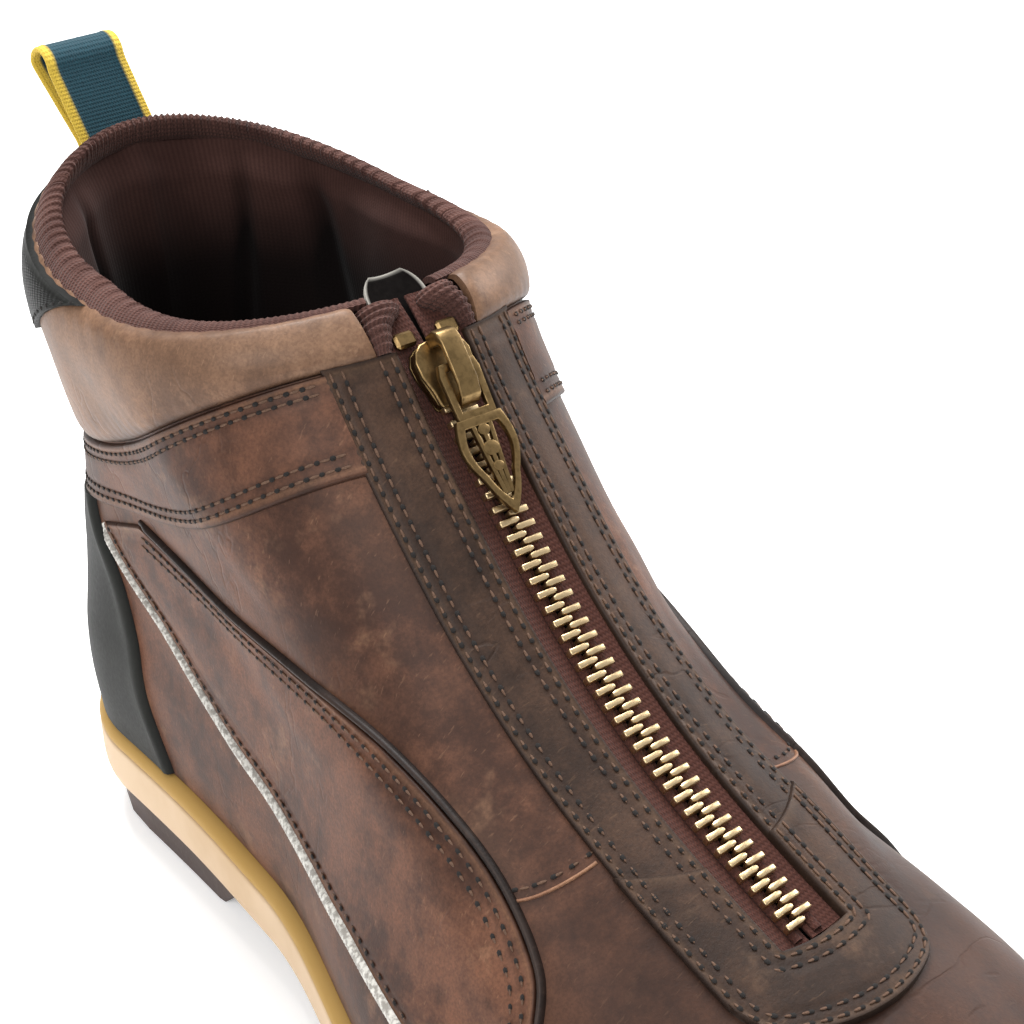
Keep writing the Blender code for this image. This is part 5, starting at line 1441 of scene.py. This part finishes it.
def bevelled(name, shape, width, segments=2, angle=30.0):
    """A mesh of a bmesh with its hard edges rounded."""
    bmesh.ops.recalc_face_normals(shape, faces=shape.faces)
    mesh = bpy.data.meshes.new(name)
    shape.to_mesh(mesh)
    shape.free()
    blank = put_in_scene(name + "_blank", mesh)
    bevel = blank.modifiers.new("edges", "BEVEL")
    bevel.width = width
    bevel.segments = segments
    bevel.limit_method = "ANGLE"
    bevel.angle_limit = math.radians(angle)
    return plain_mesh(blank, name)


def add_slab(shape, outline, low, high, along=(0, 1, 2)):
    """A slab over an outline. Along says which axes take the outline's two values and the height."""
    rings = []
    for height in (low, high):
        ring = []
        for first, second in outline:
            place = [0.0, 0.0, 0.0]
            place[along[0]], place[along[1]], place[along[2]] = first, second, height
            ring.append(shape.verts.new(place))
        rings.append(ring)
    shape.faces.new(rings[0][::-1])
    shape.faces.new(rings[1])
    for k in range(len(outline)):
        after = (k + 1) % len(outline)
        shape.faces.new((rings[0][k], rings[0][after], rings[1][after], rings[1][k]))


tooth_shape = bmesh.new()
tooth_tip = -0.0008
tooth_root = CHAIN_WIDTH / 2.0
add_slab(tooth_shape, (
    (-TOOTH_WIDTH / 2.0, tooth_root - 0.0002), (-TOOTH_WIDTH * 0.36, tooth_root),
    (TOOTH_WIDTH * 0.36, tooth_root), (TOOTH_WIDTH / 2.0, tooth_root - 0.0002),
    (TOOTH_WIDTH * 0.46, 0.0012), (TOOTH_WIDTH / 2.0, 0.0002), (TOOTH_WIDTH * 0.30, tooth_tip),
    (-TOOTH_WIDTH * 0.30, tooth_tip), (-TOOTH_WIDTH / 2.0, 0.0002), (-TOOTH_WIDTH * 0.46, 0.0012),
), -CHAIN_HEIGHT / 2.0, CHAIN_HEIGHT / 2.0)
tooth_mesh = bevelled("tooth_pattern", tooth_shape, 0.00028, 2, 50.0)
tooth_pattern = bpy.data.objects.new("tooth_pattern", tooth_mesh)
chain_start = SLIDER_START + SLIDER_LENGTH - 0.0030
chain_end = ZIP_LENGTH - 0.0034
for side_name, side, shift in (("outer", -1.0, 0.0), ("inner", 1.0, TOOTH_PITCH / 2.0)):
    count = int((chain_end - chain_start - shift) / TOOTH_PITCH)
    runs = chain_start + shift + np.linspace(0.0, count * TOOTH_PITCH, count * 4 + 1)
    points = zip_point(runs, 0.0, CHAIN_LOW + CHAIN_HEIGHT / 2.0)
    outs = ridge_frame(runs)[3]
    order = slice(None, None, -1) if side < 0.0 else slice(None)
    teeth = set_rows(
        "zip_teeth_row_" + side_name, [(points[order], outs[order])], TOOTH_PITCH, tooth_pattern,
        pale_brass, TEETH_WOBBLE, TEETH_SEED)
    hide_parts("zip_teeth_" + side_name)
    cord_runs = np.linspace(SLIDER_START + 0.002, chain_end + 0.0018, 160)
    turns_round = np.linspace(0.0, 2.0 * math.pi, 11)[:-1]
    cord_rings = []
    for wide, high in ((CORD, CORD * 0.62), (CORD * 0.4, CORD * 0.25)):
        cord_rings.append(zip_point(
            cord_runs[:, None], side * (CHAIN_WIDTH / 2.0 - 0.0012) + wide * np.cos(turns_round),
            TAPE_TOP + CORD_RISE + high * np.sin(turns_round)))
    cord = wall_piece("zip_cord_" + side_name, *cord_rings, zip_tape, wrapped=True)
    refinish("zip_stop_" + side_name, old_brass)


def mesh_points(mesh):
    """The places of a mesh's vertices."""
    flat = np.zeros(len(mesh.vertices) * 3)
    mesh.vertices.foreach_get("co", flat)
    return flat.reshape(-1, 3)


def move_mesh(mesh, points):
    """Put a mesh's vertices in new places."""
    mesh.vertices.foreach_set("co", points.reshape(-1))
    mesh.update()


# Slider. Cast brass with an antique finish: two plates joined by flanges at the sides, and a crown that
# arches over the upper plate. It sits close under the top stops.
SLIDER_WIDTH = 0.0122
PLATE_TOP = CHAIN_HIGH + 0.0019
CROWN_TOP = PLATE_TOP + 0.0047
CROWN_WIDTH = 0.0048
CROWN_LEG = 0.0026
slider_end = SLIDER_START + SLIDER_LENGTH
crown_start = SLIDER_START - 0.0010
crown_end = slider_end + 0.0016
slider_shape = bmesh.new()
half = SLIDER_WIDTH / 2.0 + 0.0005
plan = (
    (SLIDER_START, half * 0.62), (SLIDER_START + 0.0012, half * 0.86), (SLIDER_START + 0.0032, half),
    (SLIDER_START + 0.0062, half * 0.97), (SLIDER_START + 0.0098, half * 0.80),
    (slider_end - 0.0006, half * 0.74), (slider_end, half * 0.66),
)
notch = (
    (SLIDER_START - 0.0004, -half * 0.22), (SLIDER_START + 0.0016, 0.0),
    (SLIDER_START - 0.0004, half * 0.22),
)
full_plan = plan + tuple((run, -reach) for run, reach in plan[::-1]) + notch
add_slab(slider_shape, full_plan, PLATE_TOP - 0.0017, PLATE_TOP - 0.0005)
add_slab(slider_shape, full_plan, CHAIN_LOW, CHAIN_LOW + 0.0008)
for side in (-1.0, 1.0):
    flange = (
        (SLIDER_START + 0.0012, side * half * 0.84), (SLIDER_START + 0.0034, side * half * 0.99),
        (SLIDER_START + 0.0064, side * half * 0.96), (slider_end - 0.0006, side * half * 0.73),
        (slider_end - 0.0010, side * half * 0.56), (SLIDER_START + 0.0060, side * half * 0.76),
        (SLIDER_START + 0.0030, side * half * 0.78), (SLIDER_START + 0.0016, side * half * 0.66))
    add_slab(slider_shape, flange, CHAIN_LOW + 0.0006, PLATE_TOP - 0.0013)
crown_arch = (
    (crown_start, PLATE_TOP - 0.0006), (crown_start + 0.0001, CROWN_TOP - 0.0022),
    (crown_start + 0.0010, CROWN_TOP - 0.0007), (crown_start + 0.0028, CROWN_TOP),
    (crown_end - 0.0050, CROWN_TOP - 0.0001), (crown_end - 0.0016, CROWN_TOP - 0.0010),
    (crown_end - 0.0002, CROWN_TOP - 0.0026), (crown_end, PLATE_TOP - 0.0006),
    (crown_end - CROWN_LEG, PLATE_TOP - 0.0006), (crown_end - CROWN_LEG - 0.0003, CROWN_TOP - 0.0020),
    (crown_end - CROWN_LEG - 0.0012, CROWN_TOP - 0.0013),
    (crown_start + CROWN_LEG + 0.0012, CROWN_TOP - 0.0013),
    (crown_start + CROWN_LEG + 0.0003, CROWN_TOP - 0.0020), (crown_start + CROWN_LEG, PLATE_TOP - 0.0006))
add_slab(slider_shape, crown_arch, -CROWN_WIDTH / 2.0, CROWN_WIDTH / 2.0, (0, 2, 1))
slider_mesh = bevelled("zip_slider", slider_shape, 0.00042, 3)
slider_mesh.materials.append(old_brass)
slider_points = mesh_points(slider_mesh)
recess = np.clip((PLATE_TOP - 0.0008 - slider_points[:, 2]) / 0.0016, 0.0, 1.0) * 0.7
add_mark(slider_mesh, "recess", recess)
move_mesh(slider_mesh, zip_point(*slider_points.T))
slider = add_piece("zip_slider_body", slider_mesh)
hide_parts("zip_slider")


# Pull tab. A flat cast yoke passes under the slider's crown and carries a plain pointed pendant, pierced
# between thin bars. The two are one casting, which turns about the bar under the crown.
PULL_LENGTH = 0.0315
PULL_WIDTH = 0.0134
PULL_THICK = 0.0016
ARM = 0.0017
ARM_OUT = 0.0048
PIN_RADIUS = 0.00075
BAR_HALF = 0.00055
YOKE = 0.0105
PIN_HEIGHT = PLATE_TOP + 0.0022
pin_run = SLIDER_START + 0.0016 + (SLIDER_LENGTH - 0.0036) / 2.0
pin_point = zip_point(pin_run, 0.0, PIN_HEIGHT)
rest_point = zip_point(pin_run + PULL_LENGTH, 0.0, CHAIN_HIGH + GAP + PULL_THICK / 2.0 + 0.0003)
pull_down = (rest_point - pin_point) / np.linalg.norm(rest_point - pin_point)
pull_side = ridge_frame(np.array(pin_run))[2]
pull_side = pull_side - pull_down * np.dot(pull_side, pull_down)
pull_side = pull_side / np.linalg.norm(pull_side)
pull_out = np.cross(pull_down, pull_side)


def shield_half(share, scale):
    """Half width of the pull's pointed pendant at a share of its length."""
    belly = 0.80 + 0.20 * math.sin(math.pi * min(1.0, share * 1.6))
    return scale * PULL_WIDTH / 2.0 * belly * (1.0 - share ** 3.2)


SHIELD_STEPS = 16
shield_start = YOKE - 0.0004
shield_length = PULL_LENGTH - shield_start


def shield_ring(scale):
    """The pendant's outline, drawn in by a scale about its middle."""
    middle = shield_start + shield_length * 0.42
    right = []
    for step in range(SHIELD_STEPS):
        share = step / SHIELD_STEPS
        run = shield_start + 0.0006 + share * (shield_length - 0.0006)
        right.append((middle + (run - middle) * scale, shield_half(share, scale)))
    tip = (middle + (PULL_LENGTH - middle) * scale, 0.0)
    return right + [tip] + [(run, -reach) for run, reach in right[::-1]]


def add_ring_slab(shape, outer, inner, low, high):
    """A slab between two like closed outlines."""
    rings = []
    for outline, height in ((outer, low), (outer, high), (inner, high), (inner, low)):
        rings.append([shape.verts.new((run, reach, height)) for run, reach in outline])
    for first, second in ((0, 1), (1, 2), (2, 3), (3, 0)):
        for k in range(len(outer)):
            after = (k + 1) % len(outer)
            shape.faces.new((rings[first][k], rings[first][after], rings[second][after], rings[second][k]))


thick = PULL_THICK / 2.0
pull_shape = bmesh.new()
arms_outer = (
    (-PIN_RADIUS - 0.0003, -ARM_OUT + 0.0006), (-PIN_RADIUS - 0.0003, ARM_OUT - 0.0006),
    (0.0012, ARM_OUT), (YOKE + 0.0004, ARM_OUT - 0.0003), (YOKE + 0.0004, -ARM_OUT + 0.0003),
    (0.0012, -ARM_OUT))
arms_inner = (
    (PIN_RADIUS, -ARM_OUT + ARM), (PIN_RADIUS, ARM_OUT - ARM), (0.0020, ARM_OUT - ARM),
    (YOKE - ARM * 0.7, ARM_OUT - ARM), (YOKE - ARM * 0.7, -ARM_OUT + ARM), (0.0020, -ARM_OUT + ARM))
add_ring_slab(pull_shape, arms_outer, arms_inner, -thick, thick)
add_ring_slab(pull_shape, shield_ring(1.0), shield_ring(0.76), -thick, thick)
bar_start = shield_start + 0.0006
bar_end = shield_start + shield_length * 0.80
for reach in (-0.0022, 0.0, 0.0022):
    reach_end = reach * 0.35
    bar = (
        (bar_start, reach - BAR_HALF), (bar_end, reach_end - BAR_HALF), (bar_end, reach_end + BAR_HALF),
        (bar_start, reach + BAR_HALF))
    add_slab(pull_shape, bar, -thick * 0.8, thick * 0.8)
boss_angles = np.linspace(0.0, 2.0 * math.pi, 13)[:-1]
for run, size in ((0.0036, 0.0012), (0.0075, 0.0016), (0.0113, 0.0011)):
    middle = shield_start + run
    boss = tuple((middle + size * math.cos(a), size * 1.25 * math.sin(a)) for a in boss_angles)
    add_slab(pull_shape, boss, -thick, thick)
pull_mesh = bevelled("zip_pull", pull_shape, 0.00030, 2)
pull_mesh.materials.append(old_brass)
pull_points = mesh_points(pull_mesh)
deep = np.clip((thick * 0.9 - np.abs(pull_points[:, 2])) / (thick * 0.5), 0.0, 1.0) * 0.6
add_mark(pull_mesh, "recess", deep)
pull_run, pull_reach, pull_rise = pull_points[:, :1], pull_points[:, 1:2], pull_points[:, 2:]
move_mesh(pull_mesh, pin_point + pull_run * pull_down + pull_reach * pull_side + pull_rise * pull_out)
pull = add_piece("zip_pull_pendant", pull_mesh, "pull")
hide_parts("zip_pull")


# Midsole. One tan foam unit, moulded with a soft rounded side and cemented under the upper. A fine groove
# runs below its top, painted with shade, and from it up an orange-tan band is painted as the upper's shadow.
MIDSOLE_HEEL = 0.0168
MIDSOLE_FOREFOOT = 0.0125
WELT = 0.0032
MIDSOLE_STATIONS = 180
FACE_ACROSS = 9


def outline_point(turn, side, margin):
    """A point of the feather line moved out by a margin, seen from above."""
    turn, margin = np.broadcast_arrays(np.asarray(turn, float), np.asarray(margin, float))
    small = 0.004
    point = last_point(0.0, side * turn)[..., :2]
    ahead = last_point(0.0, side * (turn + small)) - last_point(0.0, side * (turn - small))
    out = np.stack((ahead[..., 1], -ahead[..., 0]), -1) * side
    return point + unit(out) * margin[..., None]


def midsole_rise(y, share):
    """Height at a share of the midsole's thickness."""
    along = (HEEL_CENTRE - y) / LAST_LENGTH
    thickness = MIDSOLE_HEEL + (MIDSOLE_FOREFOOT - MIDSOLE_HEEL) * ease((along - 0.30) / 0.34)
    return feather_height(along) - thickness * (1.0 - share)


def sole_face(turns, profile):
    """Grid over a sole's face: up one side by (share, margin) pairs, across, and down the other."""
    share, margin = np.array(profile).T
    sides = []
    for side in (-1.0, 1.0):
        plan = outline_point(turns[:, None], side, margin)
        sides.append(np.concatenate((plan, midsole_rise(plan[..., 1], share)[..., None]), -1))
    left, right = sides[0][:, -1:], sides[1][:, -1:]
    middle = left + (right - left) * np.linspace(0.0, 1.0, FACE_ACROSS + 2)[1:-1, None]
    middle[..., 2] = midsole_rise(middle[..., 1], share[-1])
    return np.concatenate((sides[0], middle, sides[1][:, ::-1]), axis=1)


sole_turns = np.concatenate(((0.0005, 0.002), np.linspace(0.0, 1.0, MIDSOLE_STATIONS)[1:-1], (0.998, 0.9995)))
MIDSOLE_UPPER = (
    (0.50, WELT), (0.62, WELT), (0.71, WELT * 0.98), (0.745, WELT * 0.93), (0.765, WELT * 0.80),
    (0.785, WELT * 0.80), (0.805, WELT * 0.93), (0.84, WELT * 0.97), (0.89, WELT * 0.90),
    (0.93, WELT * 0.74), (0.965, WELT * 0.52), (0.99, WELT * 0.26), (1.00, -0.0004), (1.00, -0.004))
MIDSOLE_LOWER = (
    (0.50, WELT), (0.38, WELT), (0.26, WELT * 0.98), (0.17, WELT * 0.94), (0.10, WELT * 0.86),
    (0.055, WELT * 0.76), (0.025, WELT * 0.66), (0.008, WELT * 0.56), (0.0, WELT * 0.48), (0.0, 0.0),
    (0.0, -0.002), (0.0, -0.003), (0.0, -0.0035), (0.0, -0.004))
foam = Finish("tan_foam", specular_ior_level=0.25)
foam_place = foam.place()
foam_fine = foam.noise(foam_place, 1100.0, 3.0, 0.65)
foam_cloud = foam.noise(foam_place, 30.0, 4.0)
foam_tone = foam.colour(foam_cloud.between(0.35, 0.7), (0.63, 0.47, 0.315), (0.55, 0.39, 0.24))
# Painted shadow below the upper's edge, then painted shade in the groove.
foam_tone = foam.colour(foam.mark("ochre_painted_shadow") * 0.9, foam_tone, (0.40, 0.235, 0.050))
foam_tone = foam.colour(foam.mark("dark") * 0.6, foam_tone, (0.16, 0.10, 0.045))
foam.bump(foam_fine, 0.00008, 0.6)
foam = foam.done(foam_tone, 0.58 + foam_fine * 0.14)
midsole_upper = sole_face(sole_turns, MIDSOLE_UPPER)
midsole_lower = sole_face(sole_turns, MIDSOLE_LOWER)
upper_shares = np.array(MIDSOLE_UPPER)[:, 0]
# From the groove up: painted shadow; in the groove itself: painted shade.
ochre_side = ease((upper_shares - 0.74) / 0.06)
groove_painted_shade = bell(upper_shares - 0.775, 0.014)
midsole_marks = {
    "ochre_painted_shadow": np.concatenate((ochre_side, np.ones(FACE_ACROSS), ochre_side[::-1])),
    "dark": np.concatenate((groove_painted_shade, np.zeros(FACE_ACROSS), groove_painted_shade[::-1])),
}
midsole = wall_piece("midsole_unit", midsole_upper, midsole_lower, foam, marks=midsole_marks)
for mark in midsole_marks:
    mark_values = np.zeros(len(midsole.data.vertices), np.float32)
    midsole.data.attributes[mark].data.foreach_get("value", mark_values)
    mark_values[len(mark_values) // 2:] = 0.0
    midsole.data.attributes[mark].data.foreach_set("value", mark_values)
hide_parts("midsole")


# Outsole. Dark rubber with a heel and lugs, moulded in one piece and cemented under the midsole. It keeps
# the solid's own shape and gets its finish here.
refinish("outsole", rubber("outsole_rubber", (0.058, 0.038, 0.033), (0.100, 0.070, 0.061), 0.50, 0.00010))


# Stage. A white floor, a bright even surround and broad soft lamps, as in a light tent. The boot stands
# on the floor, and its shadow is faint.
floor_mesh = bpy.data.meshes.new("floor")
floor_corners = [(x, y, 0.0) for x, y in ((-6.0, -6.0), (6.0, -6.0), (6.0, 6.0), (-6.0, 6.0))]
floor_mesh.from_pydata(floor_corners, [], [(0, 1, 2, 3)])
floor = put_in_scene("floor", floor_mesh)
floor_finish = Finish(
    "floor_white", base_color=(0.95, 0.95, 0.95, 1.0), roughness=0.9, specular_ior_level=0.1,
    emission_color=(1.0, 1.0, 1.0, 1.0), emission_strength=0.30)
floor_mesh.materials.append(floor_finish.material)
world = bpy.data.worlds.new("bright_surround")
world.use_nodes = True
surround = world.node_tree.nodes["Background"].inputs
surround["Color"].default_value = (1.0, 1.0, 1.0, 1.0)
surround["Strength"].default_value = 0.57
bpy.context.scene.world = world
bpy.context.scene.view_settings.view_transform = "Standard"


LAMP_AIM = mathutils.Vector((0.0, -0.06, 0.08))


def lamp(name, place, size, power):
    """A square soft lamp that faces the boot."""
    light = bpy.data.lights.new(name, "AREA")
    light.shape = "SQUARE"
    light.size = size
    light.energy = power
    stand = put_in_scene(name, light)
    stand.location = place
    toward = LAMP_AIM - mathutils.Vector(place)
    stand.rotation_euler = toward.to_track_quat("-Z", "Y").to_euler()


lamp("soft_above", (0.20, 0.30, 1.10), 0.6, 20.0)
lamp("soft_right", (1.00, -0.05, 0.60), 0.5, 6.0)
lamp("soft_left", (-0.75, -0.45, 0.75), 0.5, 5.0)


# Camera. A long lens from above and in front of the boot's outer side, close enough for the toe and part
# of the sole to leave the picture.
AZIMUTH = math.radians(-37.15)
HEIGHT_ANGLE = math.radians(29.38)
ROLL = math.radians(-2.28)
DISTANCE = 0.4880
TARGET = np.array((0.0306, -0.0722, 0.0993))
FOCAL_PIXELS = 2198.6
PICTURE_PIXELS = 1024.0
SENSOR = 36.0
back = np.array((
    math.sin(AZIMUTH) * math.cos(HEIGHT_ANGLE), -math.cos(AZIMUTH) * math.cos(HEIGHT_ANGLE),
    math.sin(HEIGHT_ANGLE)))
level_right = np.array((math.cos(AZIMUTH), math.sin(AZIMUTH), 0.0))
level_up = np.cross(back, level_right)
right = math.cos(ROLL) * level_right + math.sin(ROLL) * level_up
up = -math.sin(ROLL) * level_right + math.cos(ROLL) * level_up
camera_data = bpy.data.cameras.new("photo_view")
camera_data.sensor_width = SENSOR
camera_data.lens = FOCAL_PIXELS * SENSOR / PICTURE_PIXELS
camera_data.clip_start = 0.01
camera = put_in_scene("photo_view", camera_data)
turn_matrix = mathutils.Matrix((right, up, back)).transposed()
camera.matrix_world = mathutils.Matrix.Translation(TARGET + back * DISTANCE) @ turn_matrix.to_4x4()
bpy.context.scene.camera = camera
